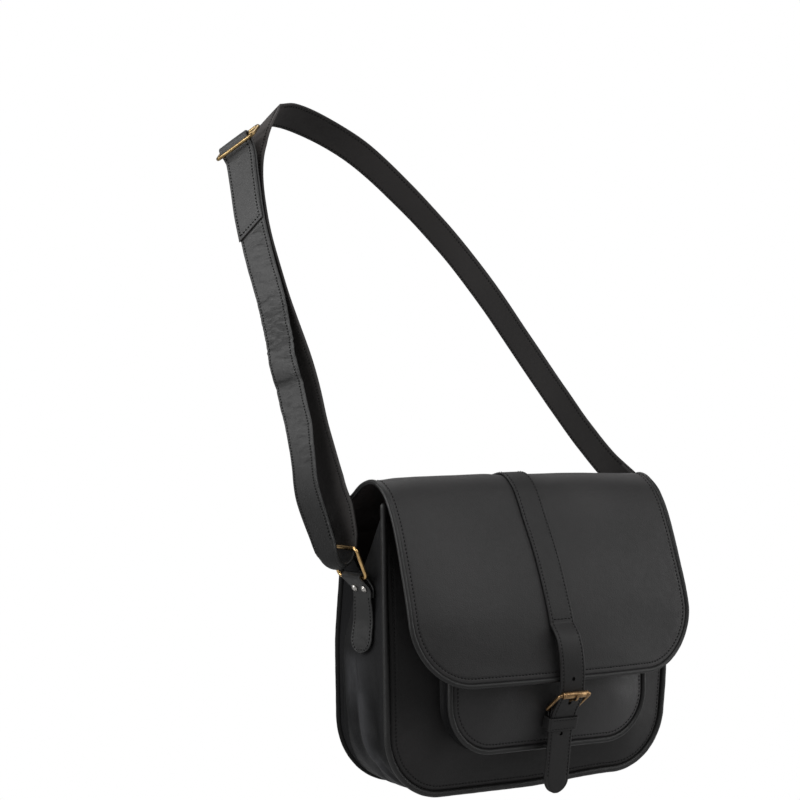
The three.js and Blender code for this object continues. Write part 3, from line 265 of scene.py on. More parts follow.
def turned_out(points, faces):
    """The faces, turned so that the closed mesh has a positive volume."""
    p = points - points.mean(axis=0)
    a, b, c, d = (p[faces[:, k]] for k in range(4))
    volume = np.einsum("ij,ij->i", a, np.cross(b, c)).sum() + np.einsum("ij,ij->i", a, np.cross(c, d)).sum()
    return faces[:, ::-1] if volume < 0 else faces


def slab(outer, inner, edge=0.0):
    """Closed sheet between two grids; the edge may be rounded."""
    rows, columns = outer.shape[:2]
    at = np.arange(rows * columns).reshape(rows, columns)
    count = rows * columns
    front = quads(at[:-1, :-1], at[:-1, 1:], at[1:, 1:], at[1:, :-1])
    back = quads(at[:-1, :-1], at[1:, :-1], at[1:, 1:], at[:-1, 1:]) + count
    border = np.concatenate([at[0, :-1], at[:-1, -1], at[-1, :0:-1], at[:0:-1, 0]])
    near = np.concatenate([at[1, :-1], at[:-1, -2], at[-2, :0:-1], at[:0:-1, 1]])
    points = np.vstack([outer.reshape(-1, 3), inner.reshape(-1, 3)])
    loops = [border]
    if edge:
        middle = (points[border] + points[border + count]) / 2
        out = unit(points[border] - points[near])
        loops.append(len(points) + np.arange(len(border)))
        points = np.vstack([points, middle + out * edge])
    loops.append(border + count)
    sides = [quads(np.roll(p, -1), p, q, np.roll(q, -1)) for p, q in zip(loops, loops[1:])]
    faces = np.vstack([front, back, *sides])
    kinds = np.concatenate([np.zeros(len(front), int), np.ones(len(back), int), np.full(sum(map(len, sides)), 2)])
    return points, turned_out(points, faces), kinds


def sweep(sections, closed=False):
    """Closed mesh through a row of like sections with an even number of points."""
    count, sides = sections.shape[:2]
    at = np.arange(count * sides).reshape(count, sides)
    first, second = (at, np.roll(at, -1, 0)) if closed else (at[:-1], at[1:])
    faces = [quads(first, np.roll(first, -1, 1), np.roll(second, -1, 1), second)]
    if not closed:
        k = np.arange(sides // 2 - 1)
        faces.append(quads(at[0, sides - 1 - k], at[0, sides - 2 - k], at[0, k + 1], at[0, k]))
        faces.append(quads(at[-1, k], at[-1, k + 1], at[-1, sides - 2 - k], at[-1, sides - 1 - k]))
    points = sections.reshape(-1, 3)
    return points, turned_out(points, np.vstack(faces))


def rod(points, hints, radius, sides=16, closed=False, domed=True):
    """Round rod along points; open ends are domed."""
    points = np.asarray(points, float)
    along = tangents(points, closed)
    u = square_to(along, hints)
    v = np.cross(along, u)
    angle = 2 * math.pi * (np.arange(sides) + 0.5) / sides
    radii = np.broadcast_to(np.asarray(radius, float), (len(points),))
    ring = np.cos(angle)[None, :, None] * u[:, None] + np.sin(angle)[None, :, None] * v[:, None]
    sections = points[:, None] + radii[:, None, None] * ring
    if not closed and domed:
        lift = np.array([0.0, 0.35, 0.65, 0.87, 0.98])
        size = np.sqrt(1 - lift ** 2)
        head = [points[0] - along[0] * lift[k] * radii[0] + radii[0] * size[k] * ring[0] for k in range(4, 0, -1)]
        tail = [points[-1] + along[-1] * lift[k] * radii[-1] + radii[-1] * size[k] * ring[-1] for k in range(1, 5)]
        sections = np.concatenate([np.array(head), sections, np.array(tail)])
    return sweep(sections, closed)


def joined(*meshes):
    points, faces, base = [], [], 0
    for mesh in meshes:
        points.append(mesh[0])
        faces.append(mesh[1] + base)
        base += len(mesh[0])
    return np.vstack(points), np.vstack(faces)


def lathe(profile, centre, axis, sides=32):
    """Turned piece: profile of radius and height, from and to the axis."""
    axis = unit(axis)
    u = unit(np.cross(axis, vec(0, 0, 1) if abs(axis[2]) < 0.8 else vec(1, 0, 0)))
    v = np.cross(axis, u)
    angle = 2 * math.pi * np.arange(sides) / sides
    ring = np.cos(angle)[:, None] * u + np.sin(angle)[:, None] * v
    return sweep(np.array([centre + axis * h + max(r, 0.02) * ring for r, h in profile]))


def rounded_loop(centre, u, v, half_u, half_v, bend, arc=8, straight=6):
    points = []
    corners = [(1, 1, 0), (-1, 1, 1), (-1, -1, 2), (1, -1, 3)]
    for index, (su, sv, quarter) in enumerate(corners):
        angle = (math.pi / 2) * (quarter + np.linspace(0, 1, arc + 1))
        arcs = (centre + np.outer(su * (half_u - bend) + bend * np.cos(angle), u)
                + np.outer(sv * (half_v - bend) + bend * np.sin(angle), v))
        points.append(arcs)
        nu, nv, nq = corners[(index + 1) % 4]
        start = math.pi / 2 * nq
        after = (centre + (nu * (half_u - bend) + bend * math.cos(start)) * u
                 + (nv * (half_v - bend) + bend * math.sin(start)) * v)
        share = np.linspace(0, 1, straight + 1)[1:-1, None]
        points.append(arcs[-1] * (1 - share) + after * share)
    return np.vstack(points)


def add(name, mesh, materials, node=None, kinds=None, sharp=None, marks=None):
    points, faces = mesh[0], mesh[1]
    data = bpy.data.meshes.new(name)
    data.from_pydata(((points - SEAT) / 1000).tolist(), [], [list(face) for face in faces])
    for material in materials if isinstance(materials, (list, tuple)) else [materials]:
        data.materials.append(material)
    if kinds is not None:
        data.polygons.foreach_set("material_index", np.minimum(kinds, len(data.materials) - 1).astype(np.int32))
    for label, values in (marks or {}).items():
        data.attributes.new(label, "FLOAT", "POINT").data.foreach_set("value", np.asarray(values, np.float32))
    data.shade_smooth()
    if sharp:
        data.set_sharp_from_angle(angle=math.radians(sharp))
    data.update()
    obj = bpy.data.objects.new(name, data)
    bpy.context.scene.collection.objects.link(obj)
    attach(obj, "root")
    if node:
        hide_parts(*([node] if isinstance(node, str) else node))
    return obj


def punched(mesh, tools):
    """The mesh with tool meshes cut out of it."""
    made = []
    for index, (points, faces) in enumerate([mesh, *tools]):
        data = bpy.data.meshes.new("punch")
        data.from_pydata(points.tolist(), [], faces.tolist())
        obj = bpy.data.objects.new("punch", data)
        bpy.context.scene.collection.objects.link(obj)
        made.append(obj)
    for tool in made[1:]:
        change = made[0].modifiers.new("cut", "BOOLEAN")
        change.operation, change.solver, change.object = "DIFFERENCE", "EXACT", tool
    shape = made[0].evaluated_get(bpy.context.evaluated_depsgraph_get()).to_mesh()
    points = np.empty(len(shape.vertices) * 3, np.float32)
    shape.vertices.foreach_get("co", points)
    faces = [tuple(polygon.vertices) for polygon in shape.polygons]
    for obj in made:
        data = obj.data
        bpy.data.objects.remove(obj)
        bpy.data.meshes.remove(data)
    return points.reshape(-1, 3).astype(float), faces


def spaced(length, fine, coarse, band):
    """Places from an edge inwards: fine in a band, then growing to coarse."""
    out, step = [0.0], fine
    while out[-1] < length - step:
        out.append(out[-1] + step)
        if out[-1] > band:
            step = min(step * 1.18, coarse)
    out = np.array(out)
    return np.append(out[:-1], length) if length - out[-1] < 0.4 * step else np.append(out, length)


def both_edges(half, fine, coarse, band):
    """Column places from -1 to 1, close together at both edges."""
    share = 1 - spaced(half, fine, coarse, band) / half
    return np.concatenate([-share, share[-2::-1]])


# -------------------------------------------------------------------- materials


def noise(tree, coord, scale, detail=3.0, rough=0.55):
    made = tree.nodes.new("ShaderNodeTexNoise")
    made.inputs["Scale"].default_value = scale
    made.inputs["Detail"].default_value = detail
    made.inputs["Roughness"].default_value = rough
    tree.links.new(coord, made.inputs["Vector"])
    return made.outputs["Fac"]


def ramp(tree, value, stops):
    made = tree.nodes.new("ShaderNodeValToRGB")
    while len(made.color_ramp.elements) < len(stops):
        made.color_ramp.elements.new(0.5)
    for element, (place, colour) in zip(made.color_ramp.elements, stops):
        element.position = place
        element.color = (*colour, 1) if isinstance(colour, tuple) else (colour, colour, colour, 1)
    tree.links.new(value, made.inputs["Fac"])
    return made.outputs["Color"]


def math_node(tree, operation, a, b):
    made = tree.nodes.new("ShaderNodeMath")
    made.operation = operation
    for socket, value in zip(made.inputs, (a, b)):
        if isinstance(value, (int, float)):
            socket.default_value = value
        else:
            tree.links.new(value, socket)
    return made.outputs[0]


def start(name):
    material = bpy.data.materials.new(name)
    material.use_nodes = True
    tree = material.node_tree
    bsdf = next(n for n in tree.nodes if n.type == "BSDF_PRINCIPLED")
    coord = tree.nodes.new("ShaderNodeTexCoord").outputs["Object"]
    return material, tree, bsdf, coord


def bump(tree, bsdf, height, strength, distance):
    made = tree.nodes.new("ShaderNodeBump")
    made.inputs["Strength"].default_value = strength
    made.inputs["Distance"].default_value = distance
    tree.links.new(height, made.inputs["Height"])
    tree.links.new(made.outputs["Normal"], bsdf.inputs["Normal"])


def leather(name, tone, spread=0.25, rough=(0.42, 0.58), specular=0.35, grain=900.0, depth=0.35,
            sheen=0.0, wear_and_light_gain=0.0, tint=(1.0, 1.0, 1.0)):
    """Grained leather with uneven tone and pores, lighter where marked; the mark is mostly painted light and shade,
    with lighter seam edges.
    """
    material, tree, bsdf, coord = start(name)
    broad = noise(tree, coord, 13, 2, 0.5)
    mottle = noise(tree, coord, 160, 4, 0.6)
    pores = tree.nodes.new("ShaderNodeTexVoronoi")
    pores.feature = "SMOOTH_F1"
    pores.inputs["Scale"].default_value = grain
    pores.inputs["Smoothness"].default_value = 0.35
    tree.links.new(coord, pores.inputs["Vector"])
    fine = noise(tree, coord, grain * 2.4, 3, 0.6)
    patch = math_node(tree, "ADD", math_node(tree, "MULTIPLY", broad, 0.65), math_node(tree, "MULTIPLY", mottle, 0.35))
    shade = lambda k: tuple(tone * k * c for c in tint)
    colour = ramp(tree, patch, [(0.3, shade(1 - spread)), (0.5, shade(1)), (0.7, shade(1 + spread))])
    if wear_and_light_gain:
        mark = tree.nodes.new("ShaderNodeAttribute")
        mark.attribute_name = "wear_and_painted_light"
        amount = math_node(tree, "MULTIPLY", mark.outputs["Fac"], math_node(tree, "ADD", math_node(tree, "MULTIPLY", mottle, 0.8), 0.6))
        mixer = tree.nodes.new("ShaderNodeMix")
        mixer.data_type = "RGBA"
        tree.links.new(amount, mixer.inputs["Factor"])
        tree.links.new(colour, mixer.inputs[6])
        mixer.inputs[7].default_value = (*shade(1 + wear_and_light_gain), 1)
        colour = mixer.outputs[2]
    tree.links.new(colour, bsdf.inputs["Base Color"])
    tree.links.new(ramp(tree, mottle, [(0.3, rough[0]), (0.7, rough[1])]), bsdf.inputs["Roughness"])
    bsdf.inputs["Specular IOR Level"].default_value = specular
    bsdf.inputs["Sheen Weight"].default_value = sheen
    bsdf.inputs["Sheen Roughness"].default_value = 0.5
    height = math_node(tree, "ADD", math_node(tree, "MULTIPLY", pores.outputs["Distance"], 0.7),
                       math_node(tree, "ADD", math_node(tree, "MULTIPLY", fine, 0.35), math_node(tree, "MULTIPLY", mottle, 1.2)))
    bump(tree, bsdf, height, depth, 0.00035)
    return material


def metal(name, bright, dull, rough, depth=0.15):
    material, tree, bsdf, coord = start(name)
    stain = noise(tree, coord, 120, 5, 0.65)
    speck = noise(tree, coord, 900, 3, 0.6)
    both = math_node(tree, "ADD", math_node(tree, "MULTIPLY", stain, 0.7), math_node(tree, "MULTIPLY", speck, 0.3))
    tree.links.new(ramp(tree, both, [(0.36, dull), (0.56, bright)]), bsdf.inputs["Base Color"])
    tree.links.new(ramp(tree, both, [(0.3, rough[1]), (0.65, rough[0])]), bsdf.inputs["Roughness"])
    bsdf.inputs["Metallic"].default_value = 1.0
    bump(tree, bsdf, speck, depth, 0.0002)
    return material


def thread(name, tone):
    material, tree, bsdf, coord = start(name)
    fibre = noise(tree, coord, 2600, 2, 0.6)
    tree.links.new(ramp(tree, fibre, [(0.3, tone * 0.6), (0.7, tone * 1.5)]), bsdf.inputs["Base Color"])
    bsdf.inputs["Roughness"].default_value = 0.75
    bsdf.inputs["Specular IOR Level"].default_value = 0.25
    bump(tree, bsdf, fibre, 0.4, 0.0002)
    return material


LEATHER_FLAP = leather("leather_flap", 0.016, 0.22, (0.44, 0.56), 0.36, wear_and_light_gain=1.8, tint=(1.03, 0.985, 1.0))
LEATHER_BODY = leather("leather_body", 0.006, 0.22, (0.44, 0.58), 0.27, wear_and_light_gain=2.6, tint=(1.03, 0.985, 1.0))
LEATHER_POCKET = leather("leather_pocket", 0.018, 0.22, (0.4, 0.54), 0.42, wear_and_light_gain=1.1, tint=(1.02, 0.985, 1.01))
LEATHER_GUSSET = leather("leather_gusset", 0.004, 0.25, (0.46, 0.6), 0.15, wear_and_light_gain=9.0, tint=(0.97, 0.98, 1.05))
# Darker, matte copy of the gusset leather for its rear band: painted shade.
GUSSET_SHADED = leather("leather_gusset_shaded", 0.0085, 0.25, (0.65, 0.8), 0.06, tint=(0.97, 0.98, 1.05))
LEATHER_EDGE = leather("leather_piping", 0.012, 0.25, (0.36, 0.5), 0.4, grain=1100)
# Darker, matte copy of the piping leather for the back piping: painted shade.
EDGE_SHADED = leather("leather_piping_shaded", 0.009, 0.25, (0.55, 0.7), 0.1, grain=1100)
LEATHER_STRAP = leather("leather_strap", 0.005, 0.25, (0.38, 0.54), 0.34, depth=0.7, wear_and_light_gain=12.6)
# Matte copy of the strap leather for the stretches that lie in shade, kept darker than the lit outer layer: painted
# shade.
STRAP_SHADED = leather("leather_strap_shaded", 0.0145, 0.2, (0.55, 0.7), 0.32, depth=0.25, wear_and_light_gain=2.3, tint=(1.1, 0.98, 0.95))
LEATHER_TAB = leather("leather_tab", 0.017, 0.2, (0.34, 0.48), 0.45)
LEATHER_CLOSURE = leather("leather_closure", 0.012, 0.2, (0.42, 0.56), 0.34, tint=(1.03, 0.985, 1.0))
EDGE_PAINT = leather("edge_paint", 0.008, 0.2, (0.35, 0.5), 0.3, grain=600, depth=0.2)
LINING = leather("flesh_side", 0.04, 0.3, (0.8, 0.95), 0.15, grain=1500, depth=0.5, tint=(1.12, 0.96, 0.96))
BRASS = metal("antique_brass", (0.44, 0.28, 0.14), (0.18, 0.105, 0.05), (0.2, 0.42), 0.08)
BRASS_BRIGHT = metal("polished_brass", (0.9, 0.6, 0.27), (0.54, 0.34, 0.14), (0.16, 0.32), 0.05)
BRASS_RUBBED = metal("rubbed_brass", (0.42, 0.3, 0.14), (0.16, 0.1, 0.045), (0.2, 0.4), 0.08)
STEEL = metal("nickel", (0.62, 0.60, 0.57), (0.34, 0.32, 0.29), (0.2, 0.38))
THREAD = thread("black_thread", 0.006)

# --------------------------------------------------------------------- stitching


def stitches(path, normals, pitch=3.5, thread_radius=0.48, share=0.74, lift=0.1, slant=0.12):
    """Row of single stitches along a path that lies on a surface."""
    run = run_of(path)
    count = max(1, int(run[-1] / pitch))
    step = run[-1] / count
    spots = np.array([-1, -0.82, -0.4, 0, 0.4, 0.82, 1])
    up = np.array([-0.55, 0.0, 0.75, 1.0, 0.75, 0.0, -0.55]) * thread_radius + lift - thread_radius * 0.4
    size = np.array([0.45, 0.8, 1, 1, 1, 0.8, 0.45]) * thread_radius
    at = ((np.arange(count) + 0.5) * step)[:, None] + spots * (step * share / 2)
    pick = lambda values: np.stack([np.interp(at, run, column) for column in values.T], axis=-1)
    centre, normal = pick(path), unit(pick(normals))
    along = unit(centre[:, -1:] - centre[:, :1]) + 0 * centre
    side = unit(np.cross(along, normal))
    centre = centre + normal * up[:, None] + side * (spots * slant * step * share / 2)[:, None]
    sides = 6
    angle = 2 * math.pi * np.arange(sides) / sides
    ring = (np.cos(angle)[None, None, :, None] * side[:, :, None] + np.sin(angle)[None, None, :, None] * normal[:, :, None])
    points = centre[:, :, None] + size[None, :, None, None] * ring
    rings = len(spots)
    at = np.arange(rings * sides).reshape(rings, sides)
    one = [quads(at[:-1], np.roll(at[:-1], -1, 1), np.roll(at[1:], -1, 1), at[1:])]
    k = np.arange(sides // 2 - 1)
    one.append(quads(at[0, sides - 1 - k], at[0, sides - 2 - k], at[0, k + 1], at[0, k]))
    one.append(quads(at[-1, k], at[-1, k + 1], at[-1, sides - 2 - k], at[-1, sides - 1 - k]))
    one = turned_out(points[0].reshape(-1, 3), np.vstack(one))
    faces = (one[None] + (np.arange(count) * rings * sides)[:, None, None]).reshape(-1, 4)
    return points.reshape(-1, 3), faces


# --------------------------------------------------------------- body of the bag


def sideways(x, z):
    bow = np.where(x > 0, 6 * bell(z, 110, 55) * (x / (BAG_WIDTH / 2)) ** 2, 0)
    return x * (1 + 0.02 * (z / PANEL_HEIGHT - 0.5)) + bow


def drawn_in(x, z, share=1.0):
    """The same with the back's upper left corner drawn in; share 1 is the back."""
    return sideways(x, z) + 7.5 * smoothstep(z, 128, 222) * share ** 1.6 * np.clip(-x / (BAG_WIDTH / 2), 0, 1) ** 6


def raised(x, z):
    rise = smoothstep(x, -10, 95)
    sag = smoothstep(x, 40, 150)
    return (z + 5 * rise * (1 - np.clip(z / 90, 0, 1)) ** 1.5
            - 20 * sag * np.clip((z - 195) / (PANEL_HEIGHT - 195), 0, 1) ** 1.3)


def straight(x, z):
    return x


def level(x, z):
    return z


def rim(half, foot, corner, top, inset, step):
    """Down one side, round the corner, along the foot and up: x, z, outwards."""
    side = np.linspace(top, foot + corner, max(2, int((top - foot - corner) / step) + 1))[:-1]
    angle = np.linspace(0, math.pi / 2, max(8, int(corner * 1.57 / step)) + 1)
    across = np.linspace(-(half - corner), 0, max(2, int((half - corner) / step) + 1))[1:]
    bend = corner - inset
    rows = np.concatenate([
        np.stack([np.full_like(side, -(half - inset)), side, np.full_like(side, -1), 0 * side], 1),
        np.stack([-(half - corner) - bend * np.cos(angle), foot + corner - bend * np.sin(angle), -np.cos(angle), -np.sin(angle)], 1),
        np.stack([across, np.full_like(across, foot + inset), 0 * across, np.full_like(across, -1)], 1),
    ])
    mirrored = rows[-2::-1] * np.array([-1, 1, -1, 1])
    return np.vstack([rows, mirrored])


def inside(x, z, half, foot, corner):
    dx, dz = np.abs(x) - (half - corner), foot + corner - z
    plain = np.minimum(half - np.abs(x), z - foot)
    return np.where((dx > 0) & (dz > 0), corner - np.hypot(np.maximum(dx, 0), np.maximum(dz, 0)), plain)


def pillow(depth, reach):
    return 1 - (1 - np.clip(depth / reach, 0, 1)) ** 2.2


def front_face(x, z):
    depth = inside(x, z, BAG_WIDTH / 2, 0, CORNER_RADIUS) - 2 * PIPING_RADIUS
    return -(BAG_DEPTH / 2 + LEATHER / 2) - 20 * pillow(depth, 80) * table(FRONT_SWELL, 1, z)


def pocket_face(x, z):
    depth = inside(x, z, POCKET_HALF, POCKET_FOOT, POCKET_CORNER) - 2 * POCKET_PIPING_RADIUS
    fade = 1 - np.clip((z - 112) / (POCKET_TOP - 112), 0, 1) ** 1.5
    return -POCKET_FACE - LEATHER / 2 - 13 * pillow(depth, 60) * fade


def seam(depth, edge, stitch, groove=0.32, roll=0.7):
    """Inward dent of a sewn edge: rolled in at the edge, drawn in at the thread."""
    return roll * np.exp(-np.maximum(depth - edge, 0) / 1.3) + groove * bell(depth, stitch, 0.85)


def panel_grid(half, foot, corner, top, inset, fine):
    """x and z of a panel's grid, close together along its sewn edge."""
    angle = np.linspace(0, math.pi / 2, 64) ** 1.15 / (math.pi / 2) ** 0.15
    bend = corner - inset
    z = foot + corner - bend * np.cos(angle)
    rest = np.linspace(foot + corner, top, max(3, int((top - foot - corner) / 3.2)) + 1)[1:]
    halves = np.concatenate([half - corner + bend * np.sin(angle), np.full(len(rest), half - inset)])
    z = np.concatenate([z, rest])
    share = both_edges(half - inset, fine, 4.2, 8)
    return halves[:, None] * share[None, :], np.repeat(z[:, None], len(share), 1)


def normals_of(grid):
    """Unit normals of a grid of points."""
    return unit(np.cross(np.gradient(grid, axis=1), np.gradient(grid, axis=0)))


UNEVEN = Waves(4, 95)
RIPPLE = Waves(9, 34)


def make_front_panel():
    inset, stitch = 2 * PIPING_RADIUS - 0.1, 2 * PIPING_RADIUS + 4.2
    x, z = panel_grid(BAG_WIDTH / 2, 0, CORNER_RADIUS, PANEL_HEIGHT, inset, 0.9)
    depth = inside(x, z, BAG_WIDTH / 2, 0, CORNER_RADIUS)

    def surface(x, z):
        depth = inside(x, z, BAG_WIDTH / 2, 0, CORNER_RADIUS)
        spot = np.stack([x, 0 * x, z], -1)
        y = front_face(x, z) + seam(depth, inset, stitch)
        return y + smoothstep(depth, 8, 30) * (0.45 * UNEVEN(spot) + 0.12 * RIPPLE(spot))

    y = surface(x, z)
    outer = np.stack([sideways(x, z), y, raised(x, z)], -1)
    mesh = slab(outer, outer + vec(0, LEATHER, 0), 0.0)
    # Painted shade: darker on the upper left beside the flap, in a band along the bottom below the pocket, and in a
    # strip by the pocket's left side; lighter along the sewn edge.
    painted_shading = 1 - (1 - smoothstep(x, -110, -60)) * smoothstep(z, 35, 105) - 1.0 * bell(z, 20, 24) * bell(x, 0, 110)
    painted_shading = painted_shading - 0.4 * bell(x, -114, 11) * smoothstep(z, 28, 50)
    wear_and_painted_light = np.tile(np.clip(0.9 * painted_shading + bell(depth, inset + 2.2, 1.2) * 0.3, 0, 1).ravel(), 2)
    add("front_panel_leather", mesh, [LEATHER_BODY, LINING, LINING], "front_panel", kinds=mesh[2], marks={"wear_and_painted_light": wear_and_painted_light}, sharp=50)
    line = rim(BAG_WIDTH / 2, 0, CORNER_RADIUS, PANEL_HEIGHT - 4, stitch, 2)
    path = np.stack([sideways(line[:, 0], line[:, 1]), surface(line[:, 0], line[:, 1]), raised(line[:, 0], line[:, 1])], 1)
    add("front_panel_stitching", stitches(path, np.broadcast_to(vec(0, -1, 0), path.shape), 3.6), THREAD)


def make_back_panel():
    inset, stitch = 2 * PIPING_RADIUS - 0.1, 2 * PIPING_RADIUS + 4.2
    x, z = panel_grid(BAG_WIDTH / 2, BACK_FOOT, BACK_CORNER, BACK_HEIGHT, inset, 1.2)

    def surface(x, z):
        depth = inside(x, z, BAG_WIDTH / 2, BACK_FOOT, BACK_CORNER)
        spot = np.stack([x, 0 * x + 300, z], -1)
        full = smoothstep(depth, 8, 60) * (1 - smoothstep(z, 180, 236))
        return BAG_DEPTH / 2 + LEATHER / 2 + full * (2.2 + 0.7 * UNEVEN(spot)) + smoothstep(depth, 8, 30) * 0.12 * RIPPLE(spot) - seam(depth, inset, stitch)

    outer = np.stack([drawn_in(x, z), surface(x, z), raised(x, z)], -1)
    mesh = slab(outer, outer - vec(0, LEATHER, 0))
    depth = inside(x, z, BAG_WIDTH / 2, BACK_FOOT, BACK_CORNER)
    wear_and_painted_light = np.tile((0.7 + bell(depth, inset + 2.2, 1.2) * 0.3).ravel(), 2)
    add("back_panel_leather", mesh, [LEATHER_BODY, LINING, LINING], "back_panel", kinds=mesh[2], marks={"wear_and_painted_light": wear_and_painted_light}, sharp=50)
    line = rim(BAG_WIDTH / 2, BACK_FOOT, BACK_CORNER, BACK_HEIGHT - 4, stitch, 2)
    path = np.stack([drawn_in(line[:, 0], line[:, 1]), surface(line[:, 0], line[:, 1]), raised(line[:, 0], line[:, 1])], 1)
    add("back_panel_stitching", stitches(path, np.broadcast_to(vec(0, 1, 0), path.shape), 3.6), THREAD)


def make_piping(name, half, foot, corner, top, radius, y, place, height, material=LEATHER_EDGE):
    line = rim(half, foot, corner, top, radius, 2.4)
    x, z = line[:, 0], line[:, 1]
    points = np.stack([place(x, z), np.full_like(x, y), height(x, z)], 1)
    run = run_of(points)
    radii = radius * (1 - 0.03 + 0.025 * np.sin(run / 7.3) * np.sin(run / 3.1 + 1))
    mesh = rod(points, vec(0, 1, 0), radii, 18)
    add(name + "_cord", mesh, material, name)


def gusset_out(z, across):
    out = table(GUSSET_SWELL, 1, z) * (1 - across ** 2) * (1 + 0.5 * across)
    for fold_z, span, place, lean, far, spread in GUSSET_FOLDS:
        line = place + lean * (z - fold_z)
        out = out + far * bell(z, fold_z, span / 1.6) * bell(across, line, spread) * (1 - across ** 4)
    return out


# The gusset is pushed out to a crest, and behind it turns away: height, how
# far out, place of the crest across.
GUSSET_CREST = np.array([
    (0, 0, 0.1), (15, 1.4, 0.12), (30, 3.2, 0.14), (48, 5.4, 0.17), (68, 7.4, 0.26), (84, 8.7, 0.28), (102, 9.4, 0.33),
    (116, 9.2, 0.36), (130, 8.6, 0.4), (143, 7.6, 0.41), (162, 5, 0.32), (180, 3, 0.22), (193, 1.7, 0.1), (206, 0.5, 0.05), (258, 0, 0)])
# Where its rear band starts: height, place across.
GUSSET_BACK = np.array([
    (0, 0.8), (14, 0.76), (28, 0.68), (44, 0.54), (60, 0.41), (76, 0.34), (92, 0.34), (102, 0.36), (116, 0.39), (130, 0.43), (143, 0.44),
    (162, 0.35), (180, 0.25), (193, 0.13), (206, 0.08), (258, 0.03)])
# Its folds and finer creases: height, span, place across, lean, outwards, spread.
GUSSET_CREASES = [
    (62, 44, -0.3, 0.003, 2.6, 0.13),
    (66, 40, -0.68, 0.004, -2.6, 0.16),
    (72, 44, 0.02, 0.002, -2.4, 0.13),
    (112, 22, -0.45, 0, 1.3, 0.4),
    (30, 30, -0.55, 0.014, 1.6, 0.12),
    (24, 22, -0.2, -0.016, -2.0, 0.1),
    (24, 22, -0.75, 0.016, -1.6, 0.09),
    (96, 34, -0.8, 0.0015, -0.9, 0.07),
    (88, 40, 0.62, -0.001, -0.9, 0.07),
    (118, 22, -0.1, 0.002, -0.5, 0.05),
]


def gusset_look(z, across):
    out, crest = table(GUSSET_CREST, 1, z), table(GUSSET_CREST, 2, z)
    ahead, behind = ((1 + across) / (1 + crest)) ** 0.92, ((1 - across) / (1 - crest)) ** 0.85
    tent = out * np.maximum(-np.log(np.exp(-16 * ahead) + np.exp(-16 * behind)) / 16, 0)
    for fold_z, span, place, lean, far, spread in GUSSET_CREASES:
        line = place + lean * (z - fold_z) + 0.03 * np.sin(z / 9)
        tent = tent + far * bell(z, fold_z, span / 1.6) * bell(across, line, spread) * (1 - across ** 6)
    return tent


def gusset_painted_shading(z, across):
    """Painted highlights in front of the crest, on the ridge below it and near the foot; painted shade beside that
    ridge, high at the front and behind them.
    """
    crest = table(GUSSET_CREST, 2, z)
    edge = table(GUSSET_BACK, 1, z)
    front = 1 - smoothstep(across, edge - 0.19, edge + 0.07)
    low = 1 - smoothstep(z, 122, 138)
    ridge = np.interp(z, [20, 32, 50, 68, 83, 96], [-0.75, -0.6, -0.35, -0.3, -0.26, -0.2])
    tone = 0.2 - 0.1 * smoothstep(z, 125, 145) * smoothstep(across, -0.5, 0)
    tone = tone + 0.6 * low * smoothstep(z, 70, 105) * bell(across, crest - 0.3, 0.4)
    tone = tone + 0.7 * bell(across, ridge, 0.15) * smoothstep(z, 18, 40) * (1 - smoothstep(z, 84, 104))
    tone = tone - 0.16 * bell(across, ridge - 0.4, 0.2) * (1 - smoothstep(z, 84, 108)) * smoothstep(z, 14, 36)
    tone = tone + 0.34 * (1 - smoothstep(z, 22, 52)) * bell(across, -0.1, 0.55)
    return np.clip(tone, 0, 1) * front


